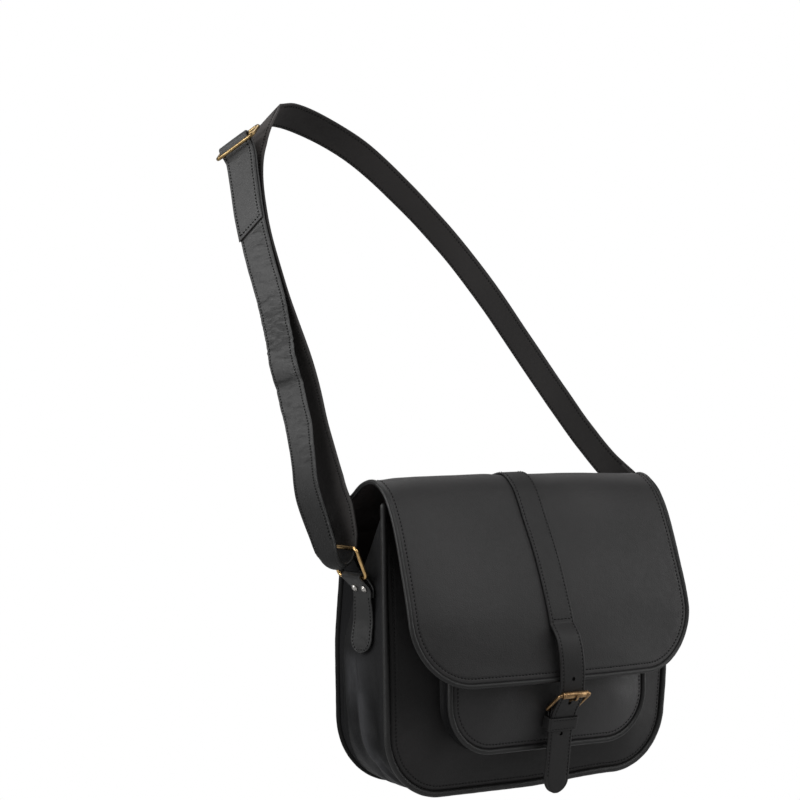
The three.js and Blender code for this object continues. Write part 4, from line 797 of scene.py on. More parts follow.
def make_gusset():
    columns = 72
    half_depth = BAG_DEPTH / 2 - PIPING_RADIUS - 0.05
    across = np.linspace(-1, 1, columns + 1)
    sides, tones, behind = [], [], []
    for depth in (0, LEATHER):
        grid = []
        for a in across:
            top = 206 + ((258 if a < 0 else 236) - 206) * abs(a) ** 1.15
            share = (a + 1) / 2
            # The same number of places down every line, so that they join.
            corner = BACK_FOOT * share + CORNER_RADIUS + (BACK_CORNER - CORNER_RADIUS) * share
            side = np.linspace(top, corner, 70)[:-1]
            bend = CORNER_RADIUS + (BACK_CORNER - CORNER_RADIUS) * share
            inset = PIPING_RADIUS - LEATHER / 2
            angle = np.linspace(0, math.pi / 2, 40)
            foot = np.linspace(-(BAG_WIDTH / 2 - bend), 0, 36)[1:]
            rows = np.concatenate([
                np.stack([np.full_like(side, -(BAG_WIDTH / 2 - inset)), side, np.full_like(side, -1), 0 * side], 1),
                np.stack([-(BAG_WIDTH / 2 - bend) - (bend - inset) * np.cos(angle), corner - (bend - inset) * np.sin(angle), -np.cos(angle), -np.sin(angle)], 1),
                np.stack([foot, np.full_like(foot, BACK_FOOT * share + inset), 0 * foot, np.full_like(foot, -1)], 1),
            ])
            line = np.vstack([rows, rows[-2::-1] * np.array([-1, 1, -1, 1])])
            x, z, nx, nz = line.T
            out = gusset_look(z, a) - depth
            tones.append(gusset_painted_shading(z, a))
            behind.append((a > table(GUSSET_BACK, 1, z)) & (z > 6))
            spot = np.stack([x, np.full_like(x, a * 60), z], -1)
            out = out + (1 - a ** 6) * (0.3 * RIPPLE(spot)) * (1 - smoothstep(z, 110, 140))
            out = out - 0.6 * math.exp(-(1 - abs(a)) * half_depth / 1.6)
            grid.append(np.stack([drawn_in(x, z, share) + nx * out, np.full_like(x, a * half_depth), raised(x, z) + nz * out], -1))
        sides.append(np.array(grid))
    mesh = slab(sides[0], sides[1], 0.0)
    # The painted light is raised where the gusset bends outwards and lowered in its hollows as painted shade.
    flat = np.gradient(np.gradient(sides[0][..., 0], axis=0), axis=0)
    wear_and_painted_light = np.array(tones).ravel() * np.tile(1 + np.clip(-flat.ravel() * np.sign(sides[0][..., 0].ravel()) * 1.5, -0.3, 0.4), 2)
    # Faces behind the rear band's edge take the darker matte copy of the leather: painted shade.
    hind = np.array(behind[:columns + 1])
    hind = (hind[:-1, :-1] & hind[1:, 1:]).ravel()
    mesh[2][:len(hind)] = np.where(hind, 3, 0)
    add("gusset_leather", mesh, [LEATHER_GUSSET, LINING, EDGE_PAINT, GUSSET_SHADED], "gusset", kinds=mesh[2], marks={"wear_and_painted_light": wear_and_painted_light}, sharp=60)


make_front_panel()
make_back_panel()
make_piping("piping_front", BAG_WIDTH / 2, 0, CORNER_RADIUS, PANEL_HEIGHT, PIPING_RADIUS, -BAG_DEPTH / 2, sideways, raised)
# The back piping takes the shaded copy of the piping leather: painted shade.
make_piping("piping_back", BAG_WIDTH / 2, BACK_FOOT, BACK_CORNER, BACK_HEIGHT, PIPING_RADIUS, BAG_DEPTH / 2, drawn_in, raised, EDGE_SHADED)
make_gusset()

# -------------------------------------------------------------------- the flap


def flap_point(u, run):
    share = np.abs(u) ** 2
    y_mid, z_mid = table(FLAP_SECTION, 1, run), table(FLAP_SECTION, 2, run)
    y_edge = np.where(u < 0, table(FLAP_SECTION, 3, run), table(FLAP_SECTION, 5, run))
    z_edge = np.where(u < 0, table(FLAP_SECTION, 4, run), table(FLAP_SECTION, 6, run))
    return np.stack([u * FLAP_HALF, y_mid + (y_edge - y_mid) * share, z_mid + (z_edge - z_mid) * share], -1)


def flap_normal(u, run):
    run = np.clip(run, 1.5, FLAP_RUN - 1.5)
    du = flap_point(u + 1e-2, run) - flap_point(u, run)
    dr = flap_point(u, run + 1) - flap_point(u, run - 1)
    return -unit(np.cross(du, dr))


def flap_half(run, inset):
    bend = FLAP_CORNER - inset
    drop = np.clip(FLAP_CORNER - (FLAP_RUN - run), 0, bend)
    return FLAP_HALF - FLAP_CORNER + np.sqrt(np.maximum(bend ** 2 - drop ** 2, 0))


def flap_depth(x, run):
    dx, dr = np.abs(x) - (FLAP_HALF - FLAP_CORNER), run - (FLAP_RUN - FLAP_CORNER)
    plain = np.minimum(FLAP_HALF - np.abs(x), FLAP_RUN - run)
    return np.where((dx > 0) & (dr > 0), FLAP_CORNER - np.hypot(np.maximum(dx, 0), np.maximum(dr, 0)), plain)


FLAP_INSET = 2 * FLAP_PIPING_RADIUS - 0.1
FLAP_STITCH = 9.0


def flap_swell(x, run):
    """The flap stands up a little along its crest on the left."""
    return 1.9 * bell(run, 117, 24) * smoothstep(-x, 10, 34) * smoothstep(flap_depth(x, run), 5, 34)


def flap_surface(x, run):
    """Outer face of the flap with its unevenness, and its normal."""
    u = x / FLAP_HALF
    point, normal = flap_point(u, run), flap_normal(u, run)
    depth = flap_depth(x, run)
    spot = np.stack([x, 0 * x, run], -1)
    free = smoothstep(depth, 6, 26) * smoothstep(np.abs(x), 12, 34)
    rise = free * (0.5 * UNEVEN(spot) + 0.14 * RIPPLE(spot)) - seam(depth, FLAP_INSET, FLAP_STITCH) + flap_swell(x, run)
    return point + normal * rise[..., None], normal


def flap_runs(inset):
    angle = np.linspace(0, math.pi / 2, 60)[1:] ** 1.1 / (math.pi / 2) ** 0.1
    return np.concatenate([np.linspace(0, FLAP_RUN - FLAP_CORNER, 92), FLAP_RUN - FLAP_CORNER + (FLAP_CORNER - inset) * np.sin(angle)])


def flap_line(inset, step=2.0):
    """Row of places round the flap's edge: x and run."""
    side = np.linspace(2, FLAP_RUN - FLAP_CORNER, int((FLAP_RUN - FLAP_CORNER) / step))
    angle = np.linspace(0, math.pi / 2, int(FLAP_CORNER * 1.57 / step))[1:]
    lip = np.linspace(-(FLAP_HALF - FLAP_CORNER), 0, int((FLAP_HALF - FLAP_CORNER) / step))[1:]
    bend = FLAP_CORNER - inset
    rows = np.concatenate([
        np.stack([np.full_like(side, -(FLAP_HALF - inset)), side], 1),
        np.stack([-(FLAP_HALF - FLAP_CORNER) - bend * np.cos(angle), FLAP_RUN - FLAP_CORNER + bend * np.sin(angle)], 1),
        np.stack([lip, np.full_like(lip, FLAP_RUN - inset)], 1),
    ])
    return np.vstack([rows, rows[-2::-1] * np.array([-1, 1])])


def make_flap():
    run = flap_runs(FLAP_INSET)
    share = both_edges(FLAP_HALF - FLAP_INSET, 0.9, 4.0, 8)
    x = flap_half(run, FLAP_INSET)[:, None] * share[None]
    run = np.repeat(run[:, None], len(share), 1)
    outer, normal = flap_surface(x, run)
    inner = flap_point(x / FLAP_HALF, run) + normal * (flap_swell(x, run) - FLAP_LEATHER)[..., None]
    mesh = slab(outer, inner, 0.0)
    depth = flap_depth(x, run)
    # Painted highlight along the crest, stronger right of the middle, and a painted highlight right of the strap lower
    # down; also lighter along the sewn edge and in a broad patch low on the left.
    crest = (0.5 + 0.6 * smoothstep(x, 5, 40)) * bell(run, 121, 12) + 0.22 * bell(x, 75, 42) * bell(run, 160, 24)
    wear_and_painted_light = np.tile((0.22 * bell(depth, FLAP_INSET + 1.8, 1.1) + crest
                    + 0.14 * bell(x, -95, 42) * bell(run, 215, 70)).ravel(), 2)
    flap = add("flap_leather", mesh, [LEATHER_FLAP, LINING, LINING], "flap", kinds=mesh[2], marks={"wear_and_painted_light": wear_and_painted_light}, sharp=50)
    line = flap_line(FLAP_PIPING_RADIUS)
    u = line[:, 0] / FLAP_HALF
    normals = flap_normal(u, line[:, 1])
    points = flap_point(u, line[:, 1]) - normals * FLAP_LEATHER / 2
    length = run_of(points)
    add("flap_piping_cord", rod(points, normals, FLAP_PIPING_RADIUS * (0.97 + 0.025 * np.sin(length / 6.1) * np.sin(length / 2.7)), 16), LEATHER_EDGE, "flap_piping")
    line = flap_line(FLAP_STITCH)
    line = line[line[:, 1] > 40]
    path, normals = flap_surface(line[:, 0], line[:, 1])
    add("flap_stitching", stitches(path, normals, 3.6), THREAD)
    return flap


FLAP = make_flap()

# ------------------------------------------------------------------ the pocket


def make_pocket():
    inset, stitch = 2 * POCKET_PIPING_RADIUS - 0.1, 2 * POCKET_PIPING_RADIUS + 3.8
    x, z = panel_grid(POCKET_HALF, POCKET_FOOT, POCKET_CORNER, POCKET_TOP, inset, 0.9)

    def surface(x, z):
        depth = inside(x, z, POCKET_HALF, POCKET_FOOT, POCKET_CORNER)
        spot = np.stack([x, 0 * x + 700, z], -1)
        return pocket_face(x, z) + seam(depth, inset, stitch) + smoothstep(depth, 8, 26) * (0.4 * UNEVEN(spot) + 0.12 * RIPPLE(spot))

    outer = np.stack([x, surface(x, z), z], -1)
    mesh = slab(outer, outer + vec(0, LEATHER, 0))
    depth = inside(x, z, POCKET_HALF, POCKET_FOOT, POCKET_CORNER)
    # Lighter along the sewn edge, and painted light over the pocket's right half.
    wear_and_painted_light = np.tile((0.3 * bell(depth, inset + 2, 1.2) + 0.9 * smoothstep(x, 20, 70)).ravel(), 2)
    add("pocket_front_leather", mesh, [LEATHER_POCKET, LINING, LINING], "pocket_front", kinds=mesh[2], marks={"wear_and_painted_light": wear_and_painted_light}, sharp=50)
    line = rim(POCKET_HALF, POCKET_FOOT, POCKET_CORNER, POCKET_TOP - 3, stitch, 2)
    path = np.stack([line[:, 0], surface(line[:, 0], line[:, 1]), line[:, 1]], 1)
    add("pocket_stitching", stitches(path, np.broadcast_to(vec(0, -1, 0), path.shape), 3.6), THREAD)
    make_piping("pocket_piping", POCKET_HALF, POCKET_FOOT, POCKET_CORNER, POCKET_TOP, POCKET_PIPING_RADIUS, -POCKET_FACE, straight, level)

    columns = 18
    sides = []
    for thick in (0, LEATHER):
        line = rim(POCKET_HALF, POCKET_FOOT, POCKET_CORNER, POCKET_TOP, POCKET_PIPING_RADIUS - LEATHER / 2 + thick, 2.6)
        x, z, nx, nz = (column[:, None] for column in line.T)
        share = np.linspace(0, 1, columns + 1)[None]
        front = -POCKET_FACE + POCKET_PIPING_RADIUS + 0.05
        back = np.minimum(front_face(x, z), front_face(x - nx * 2, z - nz * 2)) - 0.5
        slack = 1.6 * np.sin(math.pi * share) + 0.5 * np.sin(math.pi * share) * RIPPLE(np.stack([x + 0 * share, 400 * share + 0 * x, z + 0 * share], -1))
        sides.append(np.stack([x - nx * slack, front + (back - front) * share, z - nz * slack], -1))
    mesh = slab(sides[0], sides[1])
    # The side wall keeps a low even mark, so it stays dark: painted shade.
    add("pocket_gusset_leather", mesh, [LEATHER_GUSSET, LINING, EDGE_PAINT], "pocket_gusset", kinds=mesh[2], sharp=60,
        marks={"wear_and_painted_light": np.full(len(mesh[0]), 0.05)})


make_pocket()

# ------------------------------------------------------------------------ straps


def strap_profile(groove=2.6):
    """Section of a strap: distance from its edge and height, good side first."""
    half = [(0.0, 0.0), (0.12, 0.5), (0.45, 0.86), (1.0, 0.99), (1.8, 1.0), (groove - 0.55, 0.98), (groove, 0.8), (groove + 0.55, 0.98), (groove + 1.4, 1.0)]
    return np.array(half)


def strap_sections(points, sides, widths, thick, wave=None, skews=None, inner=7, groove=2.6, both=False):
    """Strap with rounded edges and sunk stitch lines along points."""
    along = tangents(points)
    face = square_to(along, sides)
    across = np.cross(along, face)
    edge = strap_profile(groove)
    widths = np.asarray(widths, float)
    count = len(points)
    left = np.stack([np.maximum(widths / 2 - d, widths / 2 * (1 - d / 9.0)) for d, _ in edge], 1)
    core = np.linspace(-1, 1, inner + 2)[1:-1]
    top_a = np.concatenate([-left, left[:, -1:] * core[None], left[:, ::-1]], 1)
    heights = np.concatenate([edge[:, 1], 1 + 0.05 * (1 - core ** 2), edge[::-1, 1]])
    low = heights.copy() if both else np.concatenate([edge[:4, 1], np.full(len(edge) - 4, 1.0), np.ones(inner), np.full(len(edge) - 4, 1.0), edge[3::-1, 1]])
    a = np.concatenate([top_a[:, 1:-1], top_a[:, ::-1]], 1)
    # The two edge points are shared: they come first and last in the lower row.
    h = np.concatenate([heights[1:-1], -low[::-1]]) * np.broadcast_to(thick, count)[:, None] / 2
    bend = wave(np.arange(count)[:, None], a) if wave is not None else 0
    skew = np.zeros(count) if skews is None else skews
    spots = (points[:, None] + across[:, None] * a[..., None] + face[:, None] * (h + bend)[..., None]
             + along[:, None] * (skew[:, None] * a / np.maximum(widths[:, None] / 2, 1e-6))[..., None])
    return spots, along, face, across


def strap_line(points, sides, widths, thick, inset, sign, wave=None, up=0.8):
    """Stitch line along one edge of a strap, on its good side (or the other for up < 0)."""
    along = tangents(points)
    face = square_to(along, sides)
    across = np.cross(along, face)
    a = sign * (np.asarray(widths) / 2 - inset)
    bend = wave(np.arange(len(points))[:, None], a[:, None])[:, 0] if wave is not None else np.zeros(len(points))
    rise = up * np.broadcast_to(thick, len(points)) / 2 + bend
    return points + across * a[:, None] + face * rise[:, None], face * np.sign(up)


# ------------------------------------------------------------------ the closure


def closure_x(z):
    return table(CLOSURE_DRIFT, 1, z)


CLOSURE_AT_BUCKLE = float(closure_x(HINGE_Z))


def closure_thick(run):
    """Thinner where it is sewn flat on the flap than where it hangs free."""
    return 2.2 + (CLOSURE_THICK - 2.2) * smoothstep(run, CLOSURE_SEAM - 34, CLOSURE_SEAM)


def closure_line():
    run = np.arange(4, CLOSURE_SEAM + 0.1, 2.0)
    bare = flap_point(0 * run, run)
    normal = flap_normal(0 * run, run)
    x = np.where(bare[:, 1] > 0, 0, closure_x(bare[:, 2]))
    sewn = flap_point(x / FLAP_HALF, run) + normal * (0.15 + closure_thick(run)[:, None] / 2)
    fall = np.stack([closure_x(CLOSURE_FALL[:, 1]), CLOSURE_FALL[:, 0], CLOSURE_FALL[:, 1]], 1)
    points = resample(catmull(np.vstack([sewn[-1:], fall]))[0], 1.3)[0][1:]
    return (np.vstack([sewn, points]),
            np.vstack([normal, np.broadcast_to(unit(vec(0, -1, -0.3)), points.shape)]),
            np.concatenate([closure_thick(run), np.full(len(points), CLOSURE_THICK)]))


def prong_line(fine=20):
    points = []
    for (y, z), radius, start_angle, end_angle, steps in (
            ((HINGE_Y, HINGE_Z), BUCKLE_WIRE + GAP + PRONG_WIRE, 300, 102, fine),
            ((ROLLER_Y, ROLLER_Z), ROLLER_RADIUS + GAP + PRONG_WIRE, -118, -8, fine)):
        angle = np.radians(np.linspace(start_angle, end_angle, steps + 1))
        points.append(np.stack([np.full_like(angle, CLOSURE_AT_BUCKLE), y - radius * np.cos(angle), z + radius * np.sin(angle)], 1))
    return np.vstack(points)


def make_closure():
    points, sides, thick = closure_line()
    foot = points[-1]
    bend = CLOSURE_WIDTH / 2
    left = np.linalg.norm(points - foot, axis=1)
    tip = np.where(left < bend, 2 * np.sqrt(np.maximum(bend ** 2 - (bend - np.minimum(left, bend)) ** 2, 0)), CLOSURE_WIDTH)
    widths = np.maximum(tip, 5.0)
    sections, along, face, _ = strap_sections(points, sides, widths, thick)
    body = sweep(sections)
    tools = []
    for z in CLOSURE_HOLES:
        front = np.where(points[:, 1] < 0)[0]
        best = front[np.argmin(np.abs(points[front, 2] - z))]
        tools.append(lathe([(0, -8), (1.9, -8), (1.9, 8), (0, 8)], points[best], face[best], 20))
    tools.append(rod(prong_line(), vec(1, 0, 0), PRONG_WIRE + 2 * GAP, 12))
    add("flap_strap_leather", punched(body, tools), LEATHER_CLOSURE, "flap_strap", sharp=40)
    rows = []
    keep = slice(8, len(points) - 12)
    for sign in (-1, 1):
        path, normal = strap_line(points, sides, widths, thick, 2.6, sign)
        rows.append(stitches(path[keep], normal[keep], 3.4))
    run = CLOSURE_SEAM - 3
    middle = int(np.argmin(np.linalg.norm(points - (flap_point(np.array(0.0), np.array(run))), axis=1)))
    a = np.linspace(-10, 10, 12)[:, None]
    cross = points[middle] + np.cross(along[middle], face[middle]) * a + face[middle] * (CLOSURE_THICK / 2 * 1.02)
    rows.append(stitches(cross, np.broadcast_to(face[middle], cross.shape), 3.4))
    add("flap_strap_stitching", joined(*rows), THREAD)


def make_buckle():
    foot, head = vec(CLOSURE_AT_BUCKLE, HINGE_Y, HINGE_Z), vec(CLOSURE_AT_BUCKLE, ROLLER_Y, ROLLER_Z)
    up = head - foot
    half = np.linalg.norm(up) / 2
    up = unit(up)
    normal = np.cross(vec(1, 0, 0), up)
    line = rounded_loop((foot + head) / 2, vec(1, 0, 0), up, BUCKLE_HALF, half, 2.4)
    add("buckle_frame_wire", rod(line, normal, BUCKLE_WIRE, 18, closed=True), BRASS, "buckle_frame")
    bore, r, h = BUCKLE_WIRE + 0.2, ROLLER_RADIUS, ROLLER_LENGTH / 2
    profile = [(bore, -h), (r - 0.5, -h), (r - 0.12, -h + 0.25), (r, -h + 0.8), (r, -h + 2.2), (r - 0.18, -h + 2.6), (r - 0.18, -h + 3.0), (r, -h + 3.4),
               (r, h - 3.4), (r - 0.18, h - 3.0), (r - 0.18, h - 2.6), (r, h - 2.2), (r, h - 0.8), (r - 0.12, h - 0.25), (r - 0.5, h), (bore, h)]
    angle = 2 * math.pi * np.arange(32) / 32
    ring = np.stack([0 * angle, np.cos(angle), np.sin(angle)], 1)
    sections = np.array([vec(CLOSURE_AT_BUCKLE + x, ROLLER_Y, ROLLER_Z) + rad * ring for rad, x in profile])
    add("buckle_roller_tube", sweep(sections, closed=True), BRASS, "buckle_roller", sharp=40)
    line = resample(prong_line(40), 0.8)[0]
    taper = np.interp(np.linspace(0, 1, len(line)), [0, 0.8, 1], [1, 1, 0.72])
    add("buckle_prong_wire", rod(line, vec(1, 0, 0), PRONG_WIRE * taper, 14), BRASS, "buckle_prong")

    legs = np.array(TAB_LEGS)
    radius = BUCKLE_WIRE + 1.7 * GAP + TAB_THICK / 2
    angle = np.linspace(0, math.pi, 24)
    points = np.vstack([
        np.stack([np.full(4, CLOSURE_AT_BUCKLE), legs[:, 1], legs[:, 0]], 1),
        np.stack([np.full(24, CLOSURE_AT_BUCKLE), HINGE_Y + radius * np.cos(angle), HINGE_Z + radius * np.sin(angle)], 1),
        np.stack([np.full(4, CLOSURE_AT_BUCKLE), legs[::-1, 2], legs[::-1, 0]], 1),
    ])
    points = resample(points, 0.9)[0]
    sides = -np.cross(vec(1, 0, 0), tangents(points))
    body = sweep(strap_sections(points, -sides, np.full(len(points), CLOSURE_WIDTH), TAB_THICK)[0])
    w, h = PRONG_WIRE + 0.8, 6.5
    corners = np.array([(x, y, z) for x in (-w, w) for y in (-8, 8) for z in (-h, h)]) + vec(CLOSURE_AT_BUCKLE, HINGE_Y, HINGE_Z + 1.5)
    box = (corners, np.array([(0, 1, 3, 2), (4, 6, 7, 5), (0, 4, 5, 1), (2, 3, 7, 6), (0, 2, 6, 4), (1, 5, 7, 3)]))
    add("buckle_tab_leather", punched(body, [(box[0], turned_out(*box))]), LEATHER_CLOSURE, "buckle_tab", sharp=40)


def make_keeper():
    foot, top, slope, front, back, half, thick = 60.0, 72.6, -0.3, -92.3, -84.05, 15.6, 1.6
    along, face = unit(vec(0, slope, 1)), unit(vec(0, -1, slope))
    z = (foot + top) / 2
    near = front - CLOSURE_THICK / 2 - 2.5 * GAP - thick / 2
    middle = vec(float(closure_x(z)), (near + back) / 2, z)
    depth = (back - near) / 2 * -face[1]
    tall = (top - foot) / 2
    line = rounded_loop(middle, vec(1, 0, 0), face, half, depth, 1.8, 8, 10)
    out = unit(np.cross(tangents(line, True), along))
    if np.mean(np.sum(out * (line - middle), 1)) < 0:
        out = -out
    edge = [(0, 0.0), (0.12, 0.5), (0.4, 0.85), (0.9, 1.0), (1.5, 0.98), (2.0, 0.78), (2.5, 0.98), (3.2, 1.0)]
    good = [(-tall + d, h) for d, h in edge] + [(0, 1.04)] + [(tall - d, h) for d, h in edge[::-1]]
    bad = [(tall - d, -h) for d, h in edge[1:4]] + [(-tall + d, -h) for d, h in edge[3:0:-1]]
    loop = good + bad
    if len(loop) % 2:
        loop.append((-tall + 0.05, -0.25))
    sections = np.stack([line + along * a + out * h * thick / 2 for a, h in loop], 1)
    add("keeper_leather", sweep(sections, closed=True), LEATHER_CLOSURE, "keeper", sharp=60)
    rows = []
    x = np.linspace(-half + 2.5, half - 2.5, 20)[:, None]
    for a in (-tall + 2.0, tall - 2.0):
        path = middle + vec(1, 0, 0) * x + face * (depth + thick / 2 * 0.8) + along * a
        rows.append(stitches(path, np.broadcast_to(face, path.shape), 3.2, 0.32))
    add("keeper_stitching", joined(*rows), THREAD)


make_closure()
make_buckle()
make_keeper()

# -------------------------------------------------------------- rings and tabs


def make_ring(label, side):
    foot, head = vec(side * RING_FOOT[0], RING_Y, RING_FOOT[1]), vec(side * RING_HEAD[0], RING_Y, RING_HEAD[1])
    up = head - foot
    half = np.linalg.norm(up) / 2
    up = unit(up)
    line = rounded_loop((foot + head) / 2, vec(0, 1, 0), up, RING_HALF, half, RING_BEND)
    add(f"ring_{label}_wire", rod(line, np.cross(vec(0, 1, 0), up), RING_WIRE, 20, closed=True), BRASS_BRIGHT, f"ring_{label}")


def tab_y(z):
    return table(SIDE_TAB_LEAN, 1, z)


def gusset_under_tab(z, side):
    flat = abs(float(sideways(np.array(side * (BAG_WIDTH / 2 - PIPING_RADIUS + LEATHER / 2)), z)))
    half = TAB_WIDTH / 2
    out = lambda k: float(gusset_out(z, (tab_y(z) + k * half) / (BAG_DEPTH / 2 - PIPING_RADIUS - GAP)))
    slope = float(np.clip((out(1) - out(-1)) / (2 * half), -0.25, 0.25))
    return flat + max(out(k) - slope * k * half for k in (-1, -0.5, 0, 0.5, 1)), slope


def side_tab_line(side):
    lift = 2.4 * GAP + TAB_THICK / 2
    radius = RING_WIRE + 2.4 * GAP + TAB_THICK / 2
    line = []
    for z in (TAB_INNER_FOOT, 194):
        line.append((min(gusset_under_tab(z, side)[0] + lift + 0.3, RING_FOOT[0] - radius), z, TAB_WIDTH, 0))
    for angle in np.linspace(math.pi, 0, 9):
        line.append((RING_FOOT[0] + radius * math.cos(angle), RING_FOOT[1] + radius * math.sin(angle), TAB_LOOP_WIDTH, 0))
    inner = line[0][0] + TAB_THICK + 2 * GAP
    line.append((inner + (RING_FOOT[0] + radius - inner) * 0.62, 198, TAB_LOOP_WIDTH - 0.5, 0))
    line.append((inner + 0.5, 191, TAB_WIDTH + 1, 0))
    line.append((inner, 183, TAB_WIDTH, 0))
    for z in (176, 164, 152):
        x, slope = gusset_under_tab(z, side)
        line.append((max(x + lift, inner - 0.8 if z > 170 else 0), z, TAB_WIDTH, slope))
    bend = TAB_WIDTH / 2
    for angle in np.linspace(0, math.pi / 2, 13):
        z = TAB_FOOT + bend * (1 - math.sin(angle))
        x, slope = gusset_under_tab(z, side)
        line.append((x + lift, z, max(TAB_WIDTH * math.cos(angle), 5), slope))
    return np.array(line, float)


def make_side_tab(label, side):
    line = side_tab_line(side)
    # Finer between the stations, apart from the rounded foot.
    body = line[:-13]
    places, where = catmull(np.stack([body[:, 0], 0 * body[:, 0], body[:, 1]], 1), 14)
    index = np.arange(len(body))
    shape = np.stack([np.interp(where, index, body[:, k]) for k in (2, 3)], 1)
    places, shape = resample(places, 0.8, shape)
    x = np.concatenate([places[:, 0], line[-13:, 0]])
    z = np.concatenate([places[:, 2], line[-13:, 1]])
    width = np.concatenate([shape[:, 0], line[-13:, 2]])
    slope = np.concatenate([shape[:, 1], line[-13:, 3]])
    spine = np.stack([side * x, 0 * x, z], 1)
    along = tangents(spine)
    across = unit(np.stack([side * slope, np.ones_like(x), 0 * x], 1))
    face = unit(np.cross(along, across))
    centre = np.stack([side * x, tab_y(z), z], 1)
    edge = strap_profile(2.7)
    left = np.stack([np.maximum(width / 2 - d, width / 2 * (1 - d / 9)) for d, _ in edge], 1)
    core = np.linspace(-1, 1, 9)[1:-1]
    top = np.concatenate([-left, left[:, -1:] * core, left[:, ::-1]], 1)
    heights = np.concatenate([edge[:, 1], 1 + 0.12 * (1 - core ** 2), edge[::-1, 1]])
    low = np.concatenate([edge[:4, 1], np.ones(len(heights) - 8), edge[3::-1, 1]])
    sign = 1.0 if np.mean(face[len(face) // 2:, 0] * side) > 0 else -1.0
    a = np.concatenate([top[:, 1:-1], top[:, ::-1]], 1)
    h = np.concatenate([heights[1:-1], -low[::-1]]) * sign * TAB_THICK / 2
    sections = centre[:, None] + across[:, None] * a[..., None] + face[:, None] * h[None, :, None]
    add(f"side_tab_{label}_leather", sweep(sections), LEATHER_TAB, f"side_tab_{label}", sharp=50)
    # Thread: down the front edge, round the foot and up the back edge.
    outer = np.arange(len(x))[(np.arange(len(x)) > len(x) * 0.45) & (z < 186)]
    path = []
    for end in (-1, 1):
        spots = centre[outer] + across[outer] * (end * np.maximum(width[outer] / 2 - 2.7, 0))[:, None] + face[outer] * (sign * 0.8 * TAB_THICK / 2)
        spots = spots[spots[:, 2] > TAB_FOOT + 2.7]
        path.append(spots if end < 0 else spots[::-1])
    path = np.vstack(path)
    normal = np.broadcast_to(vec(side, 0, 0.05), path.shape)
    add(f"side_tab_{label}_stitching", stitches(path, normal, 3.3), THREAD)
    coarse = side_tab_line(side)
    low_i = next(i for i, row in enumerate(coarse) if i > 10 and row[1] < RIVET_Z)
    low_row, high_row = coarse[low_i], coarse[low_i - 1]
    share = (RIVET_Z - low_row[1]) / (high_row[1] - low_row[1])
    rivet_x = low_row[0] + (high_row[0] - low_row[0]) * share
    out = unit(vec(high_row[1] - low_row[1], 0, -(high_row[0] - low_row[0])))
    lift = TAB_THICK / 2 + 0.25
    for where_, y in (("front", -RIVET_Y), ("back", RIVET_Y)):
        centre_r = vec(side * (rivet_x + out[0] * lift), float(tab_y(RIVET_Z)) + y, RIVET_Z + out[2] * lift)
        r, top_h = RIVET_RADIUS, RIVET_HEIGHT + 0.5
        dome = [(0, 0), (r, 0), (r, 0.35), (r * 0.97, 0.6), (r * 0.88, 0.85), (r * 0.8, 0.9)]
        dome += [(r * 0.78 * math.cos(t), 0.9 + (top_h - 0.9) * math.sin(t)) for t in np.linspace(0.12, math.pi / 2, 8)]
        add(f"rivet_{label}_{where_}_head", lathe(dome, centre_r, vec(side * out[0], 0, out[2]), 28), STEEL, f"rivet_{label}_{where_}", sharp=50)


for LABEL, SIDE in (("left", -1), ("right", 1)):
    make_ring(LABEL, SIDE)
    make_side_tab(LABEL, SIDE)

# ------------------------------------------------------ shoulder strap and slider

SLIDER_AT = vec(-122.3, 273.2, 612.6)
SLIDER_ALONG = unit(vec(0.4, -0.765, 0.505))
SLIDER_UP = square_to(SLIDER_ALONG, vec(-0.05, 0.58, 0.82))
SLIDER_OUT = unit(np.cross(SLIDER_ALONG, SLIDER_UP))


def turn(centre, start_at, over, radius, steps, sign):
    angle = np.linspace(0, math.pi, steps + 1)[:, None]
    out = start_at * np.cos(angle) + over * np.sin(angle)
    return centre + out * radius, out * sign


